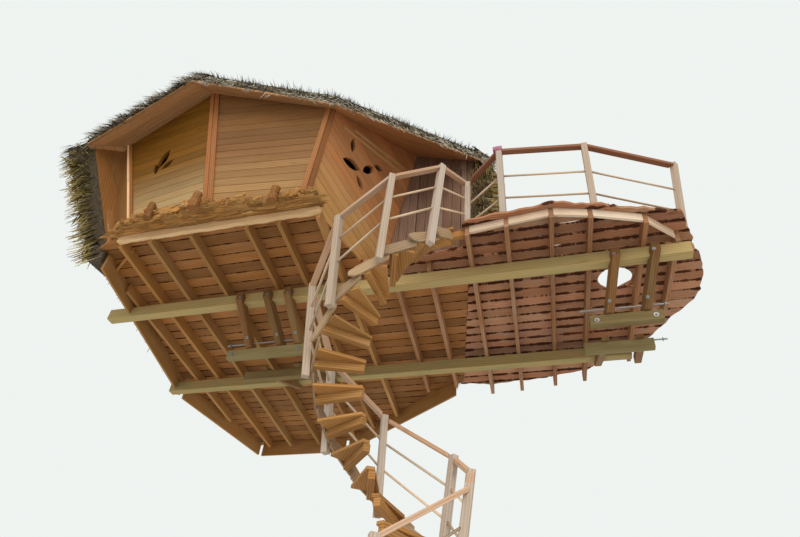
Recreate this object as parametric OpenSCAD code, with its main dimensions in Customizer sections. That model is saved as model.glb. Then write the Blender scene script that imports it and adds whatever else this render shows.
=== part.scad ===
/* [Levels] */
// Height of the deck above the ground
deck_rise = 6200; // [5600:100:6600]
// Height of the deck above the collar that holds the house to the right-hand tree
deck_over_collar = 760; // [700:10:900]
// Thickness of the deck and floor boards
board_t = 30; // [22:1:40]

/* [Frame timbers] */
// Width of the two main beams
beam_w = 110; // [80:5:140]
// Height of the two main beams
beam_h = 140; // [110:5:160]
// Distance between the centre lines of the main beams
beam_spacing = 1670; // [1600:10:1740]
// How far the front beam lies in front of the front tree collars
beam_front_offset = 355; // [320:5:400]
// Width of a floor joist
joist_w = 45; // [40:5:60]
// Height of a floor joist
joist_h = 130; // [110:5:160]
// Height of the tree collar timbers
yoke_h = 110; // [90:5:140]
// Thickness of the tree collar timbers
yoke_t = 80; // [60:5:100]
// Length of the right-hand collar timbers
right_yoke_len = 690; // [640:10:800]
// Length of the left-hand collar timbers
left_yoke_len = 960; // [900:10:1040]
// Diameter of the trunks where the collars grip them
trunk_d = 380; // [340:10:400]
// Width of a knee strut
strut_w = 75; // [60:5:90]
// Depth of a knee strut
strut_depth = 95; // [85:5:110]
// Diameter of the steel tie rods
tie_d = 16; // [12:1:20]
// Thickness of the planks that close the edges of the floors
rim_t = 28; // [22:1:40]
// Height of the pale planks under the edge of the deck and the ledge
rim_h = 95; // [80:5:120]
// How far the deck boards run past the pale planks
deck_over = 50; // [30:5:60]
// Thickness of the pale plank under the ledge
ledge_plank_t = 45; // [35:5:60]
// Height of the boards that close the sides of the cabin floor
skirt_h = 230; // [180:10:250]

/* [Stair] */
// Number of rises from the ground to the deck
rises = 28; // [26:1:30]
// Turn of the stair from one tread to the next
tread_turn = 22.5; // [20:0.5:24]
// Radius at the outer corners of the treads
stair_r = 610; // [560:10:660]
// Radius at which the treads meet the trunk
stair_core_r = 165; // [150:5:185]
// Thickness of a tread
tread_t = 32; // [26:1:40]
// Height of the bearer under each tread
bearer_h = 75; // [60:5:90]
// Width of the bearer under each tread
bearer_w = 60; // [45:5:70]
// Thickness of the planks along the outer side of the stair
plank_t = 22; // [18:1:30]
// Height of the planks along the outer side of the stair
plank_h = 130; // [110:5:140]
// How far each plank laps over the one below it
plank_lap = 110; // [60:5:115]

/* [Railings] */
// Height of the handrail over the deck and over the treads
rail_h = 950; // [900:10:1050]
// Outward lean of the posts on the deck in degrees
deck_post_lean = 7; // [0:1:10]
// Outward lean of the posts on the stair in degrees
stair_post_lean = 6.5; // [0:0.5:8]
// Side of a square railing post
post_w = 65; // [50:5:75]
// Width of the handrail
handrail_w = 60; // [50:5:80]
// Thickness of the handrail
handrail_t = 36; // [28:1:45]
// Diameter of the round rails
rod_d = 22; // [16:1:28]

/* [Cabin] */
// Thickness of the boarded walls
wall_t = 45; // [35:5:60]
// Thickness of the board lining under the roof
lining_t = 30; // [22:1:40]
// Thickness of the thatch on the roof
thatch_t = 130; // [100:10:180]
// Thickness of the thatch on the left-hand wall
wall_thatch_t = 270; // [200:10:300]
// Thickness of the thatch on the wall beside the door
door_thatch_t = 170; // [140:10:200]
// How far the wall thatch stands out beyond the left-hand eave
thatch_over = 250; // [200:10:280]
// How far the wall thatch stands out beyond the eave beside the door
door_thatch_over = 60; // [30:10:100]
// How far the thatch at the front end of the left-hand wall hangs down past the deck boards
thatch_hang = 210; // [120:10:240]
// Width of the door leaf
door_w = 550; // [500:10:570]
// Height of the door leaf
door_h = 1780; // [1700:10:1800]
// Thickness of the door leaf
door_t = 40; // [30:1:45]
// Length of the largest leaf cut out of a wall
leaf_len = 330; // [280:10:360]

/* [Hidden] */
$fn = 48;

// Clearance between pieces that bear on each other
gap = 0.3;
deck_top = deck_over_collar;
deck_under = deck_top - board_t;
ground = deck_top - deck_rise;
joist_under = deck_under - joist_h;
beam_under = joist_under - beam_h;
front_beam_y = -beam_front_offset;
back_beam_y = front_beam_y + beam_spacing;

// The three trunks: the one under the deck, the one under the cabin and the one in the stair
tree_x = 0;
left_tree_x = -3880;
tree_y = trunk_d / 2;
stair_x = -2200;
stair_y = -760;

// Vector helpers
function unit(v) = v / norm(v);
function lift(p, z) = [p[0], p[1], z];
function mix(a, b, t) = a + (b - a) * t;
function turned(v, a) = [v[0] * cos(a) - v[1] * sin(a), v[0] * sin(a) + v[1] * cos(a)];
// A soft wave for natural board edges
function wave(x) = 0.55 * sin(x * 0.6) + 0.45 * sin(x * 1.67 + 70);

// A squared timber from a to b, width across, height upward
module timber(a, b, w, h) {
    along = unit(b - a);
    side = unit(cross([0, 0, 1], along));
    up = cross(along, side);
    multmatrix([[along[0], side[0], up[0], a[0]],
                [along[1], side[1], up[1], a[1]],
                [along[2], side[2], up[2], a[2]],
                [0, 0, 0, 1]])
        translate([0, -w / 2, -h / 2])
            cube([norm(b - a), w, h]);
}

// A round rod from a to b
module rod(a, b, d) {
    along = unit(b - a);
    side = unit(cross([0, 0, 1], along));
    up = cross(along, side);
    multmatrix([[along[0], side[0], up[0], a[0]],
                [along[1], side[1], up[1], a[1]],
                [along[2], side[2], up[2], a[2]],
                [0, 0, 0, 1]])
        rotate([0, 90, 0])
            cylinder(d = d, h = norm(b - a));
}

// Main beams
front_beam_x = [-5970, 690];
back_beam_x = [-6100, 140];
module beam(x, y, slack) {
    translate([x[0] - slack, y - beam_w / 2 - slack, beam_under - slack])
        cube([x[1] - x[0] + 2 * slack, beam_w + 2 * slack, beam_h + 2 * slack]);
}
module front_beam() { color("#9c9052") beam(front_beam_x, front_beam_y, 0); }
module back_beam() { color("#9c9052") beam(back_beam_x, back_beam_y, 0); }

// Tree collars: a timber in front of each trunk and one behind it
yoke_top = yoke_h / 2;
right_back_shift = -70;
module yoke(x, y, len) {
    color("#a08a4e")
        translate([x - len / 2, y, -yoke_h / 2])
            cube([len, yoke_t, yoke_h]);
}
module right_front_yoke() { yoke(tree_x, -yoke_t, right_yoke_len); }
module right_back_yoke() { yoke(tree_x + right_back_shift, trunk_d, right_yoke_len); }
module left_front_yoke() { yoke(left_tree_x, -yoke_t, left_yoke_len); }
module left_back_yoke() { yoke(left_tree_x, trunk_d, left_yoke_len); }

// Tie rods run along the collars, through the lower ends of the knee struts
tie_len = [840, 1120];
front_tie = [-yoke_t / 2 - 35, yoke_top + 65];
back_tie = [trunk_d + yoke_t / 2 + 65, yoke_top + 40];
module tie(x, len, at, d) {
    translate([x - len / 2, at[0], at[1]])
        rotate([0, 90, 0]) cylinder(d = d, h = len);
}
module all_ties(d) {
    for (at = [front_tie, back_tie]) {
        tie(tree_x, tie_len[0], at, d);
        tie(left_tree_x + 60, tie_len[1], at, d);
    }
}
module tie_rods() { color("#9a9a96") all_ties(tie_d); }

// Knee struts stand on the collars and clasp the lower outer edge of a beam
front_knees = [[tree_x - 160, 120], [tree_x + 190, 140], [left_tree_x - 200, -60],
    [left_tree_x + 180, -90], [left_tree_x + 400, -60]];
back_knees = [[tree_x - 200, -50], [tree_x + 150, 50], [left_tree_x - 220, -50], [left_tree_x + 220, 50]];
strut_bite = 10;
strut_reach = 62;
strut_over = 0.8;
module knee(foot, head_shift, beam_y) {
    out = beam_y > foot[1] ? 1 : -1;
    face_y = beam_y + out * beam_w / 2;
    a = [foot[0], foot[1], yoke_top];
    b = [foot[0] + head_shift, face_y - out * strut_bite, beam_under];
    along = unit(b - a);
    intersection() {
        timber(a - 2 * strut_depth * along, b + 2 * strut_depth * along, strut_w, strut_depth);
        translate([foot[0] - 500, min(foot[1] - out * 200, face_y + out * strut_reach), yoke_top])
            cube([1000, abs(face_y - foot[1]) + 200 + strut_reach,
                beam_under - yoke_top + strut_over * beam_h]);
    }
}
module yoke_struts() {
    color("#b8733a")
        difference() {
            union() {
                for (k = front_knees) knee([k[0], -yoke_t / 2], k[1], front_beam_y);
                for (k = back_knees) knee([k[0], trunk_d + yoke_t / 2], k[1], back_beam_y);
            }
            beam(front_beam_x, front_beam_y, gap);
            beam(back_beam_x, back_beam_y, gap);
            all_ties(tie_d + 2 * gap);
        }
}

// Outlines of the floors
deck_front = [[-1440, -890], [-1006, -940], [-582, -985], [-174, -890], [279, -740], [593, -430]];
deck_end = [[612, -706], [677, -540], [752, -244], [880, 100], [890, 517], [765, 777]];
deck_back = [[300, 1420], [-356, 1951], [-1141, 2086], [-1618, 2120], [-2050, 2060]];
landing_front = -560;
wall_line = -200;
cabin_base = [[-5100, -1450], [-4040, -1600], [-3000, -1500], [-2580, wall_line], [-1530, wall_line],
    [-2050, 1950], [-4150, 3450], [-5700, 3450], [-6080, 1500], [-5500, -1270]];
cabin_shoulder = [[-5557, -1610], [-4277, -1792], [-2860, -1655], [-2390, wall_line],
    [-1500, wall_line], [-1850, 2150], [-4050, 3750], [-5900, 3720], [-6420, 1560], [-5870, -1880]];
shoulder = 1300;
corners = len(cabin_base);
ledge_y = -1440;
ledge_seam = ledge_y + 25;
ledge_x = [-5330, -2800];
floor_over = 60;

// Inner corner of a ring of walls, or outer corner for a negative thickness
function inner_corner(ring, i, t) =
    let (n = len(ring),
         p = ring[i % n],
         a = unit(p - ring[(i + n - 1) % n]),
         b = unit(ring[(i + 1) % n] - p),
         na = [-a[1], a[0]],
         nb = [-b[1], b[0]],
         m = unit(na + nb))
    p + m * t / (m * na);

// A board edge from a to b with the wavy outline of the trunk that it was sawn from: its point spacing
// and the depth of its waves
edge_step = 60;
edge_wave = 20;
function live_edge(a, b, depth) =
    let (steps = max(2, round(norm(b - a) / edge_step)),
         along = unit(b - a),
         out = [along[1], -along[0]])
    [for (k = [0:steps - 1])
        let (p = mix(a, b, k / steps))
        p + out * depth * wave(p[0] + 1.7 * p[1])];
function live_path(path, depth) =
    concat([for (k = [0:len(path) - 2]) each live_edge(path[k], path[k + 1], depth)],
        [path[len(path) - 1]]);

deck_edge = live_path(concat([[-1540, landing_front], [-1560, -740]],
    [for (i = [0:len(deck_front) - 2]) deck_front[i] - [0, deck_over]], deck_end, deck_back), edge_wave);
cabin_floor_ring = [for (i = [0:corners - 1])
    inner_corner(cabin_base, i, i == 3 || i == 4 ? 0 : -floor_over)];

// Edge of a floor at position x, from a list of points that run along X
function edge_at(path, x) = lookup(x, path);

module deck_floor() {
    color("#a5683f")
        translate([0, 0, deck_under])
            difference() {
                linear_extrude(board_t)
                    polygon(concat(deck_edge,
                        [[-2250, 1700], [-1900, 0], [-2500, 0], [-2710, landing_front]]));
                translate([0, 0, -1])
                    linear_extrude(board_t + 2)
                        polygon([for (i = [0:corners - 1]) inner_corner(cabin_floor_ring, i, -gap)]);
                translate([tree_x, tree_y, -1])
                    cylinder(d = trunk_d - 20, h = board_t + 2);
            }
}
module cabin_floor() {
    color("#b5713c")
        translate([0, 0, deck_under])
            difference() {
                linear_extrude(board_t) polygon(cabin_floor_ring);
                translate([ledge_x[0], ledge_seam - 600, -1])
                    cube([ledge_x[1] - ledge_x[0], 600, board_t + 2]);
            }
}
// First board of the cabin floor, with its live edge to the front
module ledge_board() {
    edge = live_path([[ledge_x[0] + gap, -1500], [-5100, -1575], [-4720, -1680], [-4060, -1700],
        [-3260, -1610], [ledge_x[1] - gap, -1640]], edge_wave + 8);
    color("#8a5a33")
        translate([0, 0, deck_under])
            linear_extrude(board_t)
                polygon(concat(edge,
                    [[ledge_x[1] - gap, ledge_seam - gap], [ledge_x[0] + gap, ledge_seam - gap]]));
}

// Joists: position along X and width, with ends that follow the edges of the floors
deck_joist_x = [-1430, -1030, -590, -225, 280, 580];
rear_deck_joist_x = [-2330, -1930];
cabin_joist_x = [-5180, -4800, -4300, -3650, -3280, -2850];
side_joist_x = -5560;
side_joist_y = [-690, 2450];
edge_in = 12;
joist_out = 45;
// The joists lie slightly askew: how far they move along X for each millimetre to the back
joist_skew = -0.065;
module joist(x, y0, y1) {
    shift = joist_skew * (y1 - y0);
    translate([x, y0, joist_under])
        linear_extrude(joist_h)
            polygon([[-joist_w / 2, 0], [joist_w / 2, 0], [joist_w / 2 + shift, y1 - y0],
                [-joist_w / 2 + shift, y1 - y0]]);
}
function deck_front_y(x) = edge_at(deck_front, x) + edge_in;
// Position of a side face of a deck joist at depth y
function joist_side(i, y, side) =
    deck_joist_x[i] + side * (joist_w / 2 + gap) + joist_skew * (y - deck_front_y(deck_joist_x[i]));
function deck_back_y(x) =
    edge_at([for (i = [len(deck_back) - 1:-1:0]) deck_back[i]], x + joist_skew * 2800);
cabin_back = [cabin_base[7], cabin_base[6], cabin_base[5]];
function cabin_back_y(x) = edge_at(cabin_back, x + joist_skew * 4000) - 2 * rim_t;
module deck_joists() {
    color("#8a5633") {
        for (x = deck_joist_x)
            joist(x, deck_front_y(x), x < 400 ? deck_back_y(x) + joist_out : deck_end[len(deck_end) - 1][1]);
        for (x = rear_deck_joist_x)
            joist(x, landing_front + 130, min(cabin_back_y(x), deck_back_y(x)) - 2 * rim_t);
    }
}
module cabin_joists() {
    color("#a9652f") {
        for (x = cabin_joist_x)
            joist(x, ledge_y + ledge_plank_t + gap, cabin_back_y(x) - 40);
        joist(side_joist_x, side_joist_y[0], side_joist_y[1]);
    }
}

// Pale planks between the ends of the joists
module deck_rim() {
    color("#d9b184")
        for (i = [0:len(deck_joist_x) - 2]) {
            y0 = deck_front_y(deck_joist_x[i] + joist_w / 2);
            y1 = deck_front_y(deck_joist_x[i + 1] - joist_w / 2);
            translate([0, 0, deck_under - rim_h])
                linear_extrude(rim_h)
                    polygon([[joist_side(i, y0, 1), y0], [joist_side(i + 1, y1, -1), y1],
                        [joist_side(i + 1, y1 + rim_t, -1), y1 + rim_t],
                        [joist_side(i, y0 + rim_t, 1), y0 + rim_t]]);
        }
}
module front_ledge() {
    low = live_edge([-5190, 0], [-2850, 0], 8);
    color("#d9b184")
        translate([0, ledge_y + ledge_plank_t, deck_under - rim_h / 2])
            rotate([90, 0, 0])
                linear_extrude(ledge_plank_t)
                    polygon(concat(
                        [[-5190, rim_h / 2], [-5225, rim_h * 0.2], [-5205, 0], [-5215, -rim_h * 0.3]],
                        [for (p = low) [p[0], p[1] - rim_h / 2 + 8]],
                        [[-2830, -rim_h * 0.3], [-2815, rim_h * 0.1], [-2840, rim_h / 2]]));
}

// Boards on edge that close the sides and the back of the cabin floor
skirt_ends = [[8, 9], [7, 8], [6, 7], [5, 6]];
module cabin_skirt() {
    color("#b8733a")
        difference() {
            for (e = skirt_ends) {
                a = inner_corner(cabin_base, e[0], rim_t / 2);
                b = inner_corner(cabin_base, e[1], rim_t / 2);
                timber(lift(mix(a, b, 0.02), deck_under - gap - skirt_h / 2),
                    lift(mix(a, b, 0.98), deck_under - gap - skirt_h / 2), rim_t, skirt_h);
            }
            beam(front_beam_x, front_beam_y, gap);
            beam(back_beam_x, back_beam_y, gap);
        }
}

// Cabin walls
function base_out(i) = cabin_base[i % corners];
function base_in(i) = inner_corner(cabin_base, i, wall_t);
function lean_at(a, b, h) = a + (b - a) * h / shoulder;
door_head = deck_top + door_h;
// How high each corner of the wall ring reaches before the roof cuts it off
corner_h = [1750, 2150, 1700, door_h + 550, door_h + 450, 1700, 1600, 1500, 1500, 1220];
function wall_top_z(i) = deck_top + corner_h[i % corners];
function top_out(i) =
    lift(lean_at(base_out(i), cabin_shoulder[i % corners], corner_h[i % corners]), wall_top_z(i));
function top_in(i) =
    top_out(i) + lift(inner_corner(cabin_shoulder, i, wall_t) - cabin_shoulder[i % corners], 0);

// Under face of the roof: eave corners, then the peak
eave = [[-5870, -1940, 1930], [-4470, -2190, 2440], [-2750, -1780, 2010], [-1300, -190, door_head + 60],
    [-1700, 2250, 2100], [-4050, 3900, 2100], [-6000, 3850, 2100], [-6560, 1560, 2000]];
peak = [-3900, 700, 4300];
eaves = len(eave);
eave_plan = [for (p = eave) [p[0], p[1]]];
roof_t = lining_t + thatch_t;

// Everything that lies below a roof surface, from a ring of eave corners to its peak
module below(ring, tip) {
    n = len(ring);
    polyhedron(
        points = concat([for (p = ring) [p[0], p[1], 0]], ring, [tip]),
        faces = concat(
            [[for (i = [0:n - 1]) i]],
            [for (i = [0:n - 1]) [(i + 1) % n, i, n + i]],
            [for (i = [0:n - 1]) [(i + 1) % n, n + i, n + (i + 1) % n]],
            [for (i = [0:n - 1]) [n + (i + 1) % n, n + i, 2 * n]]));
}
module under_roof() { below(eave, peak); }

// The room that the roof itself takes up, with a small clearance round it
module roof_room() {
    ring = [for (i = [0:eaves - 1]) lift(inner_corner(eave_plan, i, -gap), eave[i][2] - 2 * gap)];
    polyhedron(
        points = concat(ring, [for (p = ring) lift(p, 6000)], [peak - [0, 0, 2 * gap]]),
        faces = concat(
            [for (i = [0:eaves - 1]) [i, (i + 1) % eaves, 2 * eaves]],
            [for (i = [0:eaves - 1]) [(i + 1) % eaves, i, eaves + i]],
            [for (i = [0:eaves - 1]) [(i + 1) % eaves, eaves + i, eaves + (i + 1) % eaves]],
            [[for (i = [eaves - 1:-1:0]) eaves + i]]));
}

// A block between two quadrilaterals: the outer four points, then the inner four, each bottom pair first
module wall_block(outer, inner) {
    polyhedron(
        points = concat(outer, inner),
        faces = [[0, 1, 5, 4], [0, 2, 3], [0, 3, 1], [4, 5, 7], [4, 7, 6], [0, 4, 6], [0, 6, 2],
            [1, 3, 7], [1, 7, 5], [3, 2, 6], [3, 6, 7]]);
}

// One leaning wall between corner i and the next, cut off by the roof
module cabin_wall(i) {
    j = i + 1;
    intersection() {
        wall_block([lift(base_out(i), deck_top), lift(base_out(j), deck_top), top_out(i), top_out(j)],
            [lift(base_in(i), deck_top), lift(base_in(j), deck_top), top_in(i), top_in(j)]);
        under_roof();
    }
}

// Frame of a wall: along its foot, up its slope and outward, from its first corner
module on_wall(i) {
    foot = lift(base_out(i), deck_top);
    along = unit(lift(base_out(i + 1), deck_top) - foot);
    slope = top_out(i) - foot;
    up = unit(slope - along * (slope * along));
    out = cross(along, up);
    multmatrix([[along[0], up[0], out[0], foot[0]],
                [along[1], up[1], out[1], foot[1]],
                [along[2], up[2], out[2], foot[2]],
                [0, 0, 0, 1]])
        children();
}

// A pointed leaf, cut right through: two arcs that meet at its ends
module leaf_hole(at, angle, len) {
    half = len / 2;
    r = half * 1.45;
    offset_y = sqrt(r * r - half * half);
    translate([at[0], at[1], -3 * wall_t])
        rotate([0, 0, angle])
            intersection() {
                translate([0, -offset_y, 0]) cylinder(r = r, h = 6 * wall_t);
                translate([0, offset_y, 0]) cylinder(r = r, h = 6 * wall_t);
            }
}
reed_leaves = [[[210, 1010], 68, 0.9], [[300, 900], 35, 0.55], [[130, 880], 105, 0.5]];
branch_leaves = [[[430, 1010], 20, 0.95], [[700, 1190], 55, 0.8], [[360, 1270], 100, 0.65],
    [[640, 900], -35, 0.6], [[850, 1370], 25, 0.55]];
module leaves(list) {
    for (l = list)
        leaf_hole(l[0], l[1], leaf_len * l[2]);
}
module front_left_wall() {
    color("#c98a4b")
        difference() {
            cabin_wall(0);
            on_wall(0) leaves(reed_leaves);
        }
}
module front_middle_wall() { color("#c98a4b") cabin_wall(1); }
module front_right_wall() {
    color("#c98a4b")
        difference() {
            cabin_wall(2);
            on_wall(2) leaves(branch_leaves);
        }
}
module right_wall() { color("#b5713c") cabin_wall(4); }
module rear_right_wall() { color("#b5713c") cabin_wall(5); }
module back_wall() { color("#b5713c") cabin_wall(6); }
module rear_left_wall() { color("#b5713c") cabin_wall(7); }
module left_wall() { color("#b5713c") cabin_wall(8); }
module left_cheek() { color("#b5713c") cabin_wall(9); }

// Thatch over walls 4 to 8. It gets thicker from the corner beside the door towards the left-hand wall,
// and its upper side carries on the slope of the roof
thatched = [4, 5, 6, 7, 8];
thatch_ends = [4, 9];
thatch_seam = 1;
function from_door(c) = min(1, (c - 4) / 3);
function full_t(c) = mix(door_thatch_t, wall_thatch_t, from_door(c));
function over(c) = mix(door_thatch_over, thatch_over, from_door(c));
function eave_of(c) = (c - 1) % eaves;
function wall_along(i) = unit(base_out(i + 1) - base_out(i));
function wall_out(i) = [wall_along(i)[1], -wall_along(i)[0]];
function is_end(c) = c == thatch_ends[0] || c == thatch_ends[1];
// A point at distance t outside the foot of wall w, at corner c
function off_foot(w, c, t) = is_end(c) ? base_out(c) + wall_out(w) * t : inner_corner(cabin_base, c, -t);
function thatch_rim(w, c) =
    is_end(c) ? eave_plan[eave_of(c)] + wall_out(w) * over(c) : inner_corner(eave_plan, eave_of(c), -over(c));
// A point on the outer face of the thatch at corner c and height z
function thatch_at(w, c, z) =
    let (foot = off_foot(w, c, full_t(c)))
    lift(foot + (thatch_rim(w, c) - foot) * (z - deck_top) / (eave[eave_of(c)][2] - deck_top), z);
cap_reach = 0.11;
cap_peak = peak + [0, 0, roof_t];
cap_ring = [for (p = eave) p + [0, 0, roof_t] + (p - peak) * cap_reach];

// The foot of the thatch is cut back to the edge of the floor, up to the height of its belly
thatch_foot_t = 55;
belly = deck_top + 280;
// The front end of the left-hand wall keeps its full thickness and hangs past the floor
hang_from = 0.66;
hang_t = [300, 140];
belly_in = 130;
// A point just outside wall w, at corner c and height z
function wall_face(w, c, z) =
    lift(lean_at(base_out(c), cabin_shoulder[c % corners], z - deck_top) + wall_out(w) * gap, z);
module thatch_panel(w) {
    shift = [lift(wall_along(w) * thatch_seam, 0), lift(-wall_along(w) * thatch_seam, 0)];
    c = [w, w + 1];
    top = [for (k = [0, 1]) wall_top_z(c[k]) + 400];
    intersection() {
        wall_block(
            concat([for (k = [0, 1]) thatch_at(w, c[k], belly) + shift[k]],
                [for (k = [0, 1]) thatch_at(w, c[k], top[k]) + shift[k]]),
            concat([for (k = [0, 1]) wall_face(w, c[k], belly) + shift[k]],
                [for (k = [0, 1]) wall_face(w, c[k], top[k]) + shift[k]]));
        below(cap_ring, cap_peak);
    }
    wall_block(
        concat([for (k = [0, 1]) lift(off_foot(w, c[k], thatch_foot_t), deck_top) + shift[k]],
            [for (k = [0, 1]) thatch_at(w, c[k], belly) + shift[k]]),
        concat([for (k = [0, 1]) wall_face(w, c[k], deck_top) + shift[k]],
            [for (k = [0, 1]) wall_face(w, c[k], belly) + shift[k]]));
}
module hanging_end() {
    w = thatched[len(thatched) - 1];
    out = lift(wall_out(w), 0);
    ends = [base_out(w) + (base_out(w + 1) - base_out(w)) * hang_from,
        base_out(w + 1) - wall_along(w) * thatch_seam];
    wall_block(
        [lift(ends[0], deck_top - 12) + out * thatch_foot_t,
            lift(ends[1], deck_top - thatch_hang) + out * hang_t[1],
            lift(ends[0], deck_top) + out * thatch_foot_t, lift(ends[1], deck_top) + out * hang_t[0]],
        [lift(ends[0], deck_top - 12) + out * gap, lift(ends[1], deck_top - thatch_hang) + out * gap,
            lift(ends[0], deck_top) + out * gap, lift(ends[1], deck_top) + out * gap]);
    wall_block(
        [lift(ends[0], deck_top) + out * thatch_foot_t, lift(ends[1], deck_top) + out * hang_t[0],
            lift(ends[0], belly) + out * belly_in, lift(ends[1], belly) + out * (hang_t[0] + 60)],
        [lift(ends[0], deck_top) + out * gap, lift(ends[1], deck_top) + out * gap,
            lift(ends[0], belly) + out * belly_in * 0.9, lift(ends[1], belly) + out * belly_in]);
}
module walls_room() {
    for (w = thatched) {
        out = lift(wall_out(w) * gap, 0);
        wall_block(
            concat([for (c = [w, w + 1]) lift(base_out(c), deck_top) + out],
                [for (c = [w, w + 1]) top_out(c) + out]),
            concat([for (c = [w, w + 1]) lift(base_in(c), deck_top)], [for (c = [w, w + 1]) top_in(c)]));
    }
}
module floor_room() {
    translate([0, 0, deck_under - gap])
        linear_extrude(board_t + 2 * gap) {
            polygon([for (i = [0:corners - 1]) inner_corner(cabin_floor_ring, i, -gap)]);
            offset(delta = gap) polygon(concat(deck_edge, [[-2250, 1700]]));
        }
}
module wall_thatch() {
    color("#8d7a4e")
        difference() {
            union() {
                for (w = thatched)
                    thatch_panel(w);
                hanging_end();
            }
            roof_room();
            walls_room();
            floor_room();
        }
}

// Roof: eight faces from the eaves to the peak, between two heights above the under face
hip_seam = 1;
function toward(p, q, d) = p + unit(q - p) * d;
module roof_face(i, lo, hi) {
    middle = (eave[i] + eave[(i + 1) % eaves] + peak) / 3;
    tri = [for (p = [eave[i], eave[(i + 1) % eaves], peak]) toward(p, middle, 2 * hip_seam)];
    polyhedron(
        points = concat([for (p = tri) p + [0, 0, lo]], [for (p = tri) p + [0, 0, hi]]),
        faces = [[0, 1, 2], [5, 4, 3], [1, 0, 3], [1, 3, 4], [2, 1, 4], [2, 4, 5], [0, 2, 5], [0, 5, 3]]);
}
module roof_lining() { color("#bf7d45") for (i = [0:eaves - 1]) roof_face(i, gap, lining_t); }
module thatch_roof() { color("#8d7a4e") for (i = [0:eaves - 1]) roof_face(i, lining_t, roof_t); }

// The door stands in the short wall that faces the head of the stair
door_x = -2190;
door_y = wall_line;
door_gap = 6;
hinge_d = 24;
hinge_pin_d = 12;
hinge_play = 0.3;
hinge_strap_t = 4;
hinge_strap_h = 40;
hinge_plate_w = 60;
hinge_x = door_x - door_gap / 2;
hinge_y = door_y + wall_t + hinge_d / 2;
hinge_heights = [260, door_h - 300];

module door_wall() {
    color("#7d4a30")
        difference() {
            cabin_wall(3);
            translate([door_x - door_gap, door_y - wall_t, deck_top - 1])
                cube([door_w + 2 * door_gap, 3 * wall_t, door_h + door_gap + 1]);
        }
}
module cabin_door() {
    color("#7d4a30")
        translate([door_x, door_y + wall_t - door_t, deck_top + door_gap])
            cube([door_w, door_t, door_h - door_gap]);
}

// Fixed half of a hinge: a plate on the wall, a knuckle and the pin
module door_hinges() {
    color("#6f6f6c")
        for (z = hinge_heights)
            translate([hinge_x, hinge_y, deck_top + z]) {
                translate([-hinge_plate_w, -hinge_d / 2, 0])
                    cube([hinge_plate_w, hinge_strap_t, hinge_strap_h]);
                cylinder(d = hinge_d, h = hinge_strap_h);
                cylinder(d = hinge_pin_d, h = 2 * hinge_strap_h);
            }
}

// Moving half of a hinge: a strap along the leaf, with a knuckle that turns on the pin
module hinge_straps() {
    color("#6f6f6c")
        for (z = hinge_heights)
            translate([hinge_x, hinge_y, deck_top + z + hinge_strap_h + hinge_play])
                difference() {
                    union() {
                        translate([0, -hinge_d / 2, 0])
                            cube([door_w * 0.6, hinge_strap_t, hinge_strap_h]);
                        cylinder(d = hinge_d, h = hinge_strap_h);
                    }
                    translate([0, 0, -1])
                        cylinder(d = hinge_pin_d + 2 * hinge_play, h = hinge_strap_h + 2);
                }
}

// Stair: treads wind upward against the clock round the trunk, the last one level with the deck
rise = deck_rise / rises;
landing_angle = 363;
half_turn = tread_turn / 2;
function tread_angle(i) = landing_angle - (rises - i) * tread_turn;
function tread_z(i) = ground + i * rise;
module at_tread(i) {
    translate([stair_x, stair_y, tread_z(i)])
        rotate([0, 0, tread_angle(i)])
            children();
}

// The outer planks are straight and lap like shingles: each one turns out by plank_skew, so that its
// lower end lies just outside the upper end of the plank below
plank_skew = asin((gap + plank_t * cos(tread_turn)) / (2 * stair_r * sin(half_turn)));
plank_in = stair_r * cos(half_turn - plank_skew);
plank_end = stair_r * sin(half_turn - plank_skew);
plank_start = -stair_r * sin(half_turn + plank_skew) - plank_t * sin(tread_turn) - plank_lap;
plank_pitch = 0.8 * rise / (2 * stair_r * sin(half_turn));
// How far the middle of a plank lies above its tread at the stair's own pitch line
plank_rise = 70;
plank_wave = 4;
// Upper and lower outline of a plank along its length, as shares of its height from its middle line
plank_top = [0.42, 0.5, 0.5, 0.5, 0.48, 0.36, -0.08];
plank_foot = [0.1, -0.34, -0.48, -0.5, -0.5, -0.5, -0.44];

// Angles of the two edges of a tread
tread_span = [-0.6 * tread_turn, 0.45 * tread_turn];

// Reach of a ray at angle a, from the stair axis to just inside the outer plank
function tread_reach(a) = (plank_in - gap) / cos(a - plank_skew);
module stair_treads() {
    color("#c07a3c")
        for (i = [1:rises])
            at_tread(i)
                translate([0, 0, -tread_t])
                    linear_extrude(tread_t)
                        polygon([for (a = tread_span) stair_core_r * [cos(a), sin(a)],
                            for (a = reversed(tread_span)) tread_reach(a) * [cos(a), sin(a)]]);
}

// Bearers carry the treads from the trunk to the outer planks, the last one from the trunk to a joist
bearer_turn = -tread_turn * 0.3;
top_bearer_y = stair_y + (deck_joist_x[0] - stair_x) * sin(landing_angle + bearer_turn) + bearer_w / 2;
top_bearer_reach = joist_side(0, top_bearer_y, -1) - stair_x;
function bearer_reach(side) =
    (plank_in - gap - side * bearer_w / 2 * sin(plank_skew - bearer_turn)) / cos(plank_skew - bearer_turn);
module bearer(reach_low, reach_high) {
    translate([0, 0, -tread_t - bearer_h])
        rotate([0, 0, bearer_turn])
            linear_extrude(bearer_h)
                polygon([[stair_core_r, -bearer_w / 2], [reach_low, -bearer_w / 2],
                    [reach_high, bearer_w / 2], [stair_core_r, bearer_w / 2]]);
}
module stair_bearers() {
    top_turn = landing_angle + bearer_turn;
    color("#b8682c") {
        for (i = [1:rises - 1])
            at_tread(i)
                bearer(bearer_reach(-1), bearer_reach(1));
        at_tread(rises)
            bearer((top_bearer_reach - bearer_w / 2 * sin(top_turn)) / cos(top_turn),
                (top_bearer_reach + bearer_w / 2 * sin(top_turn)) / cos(top_turn));
    }
}

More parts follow.
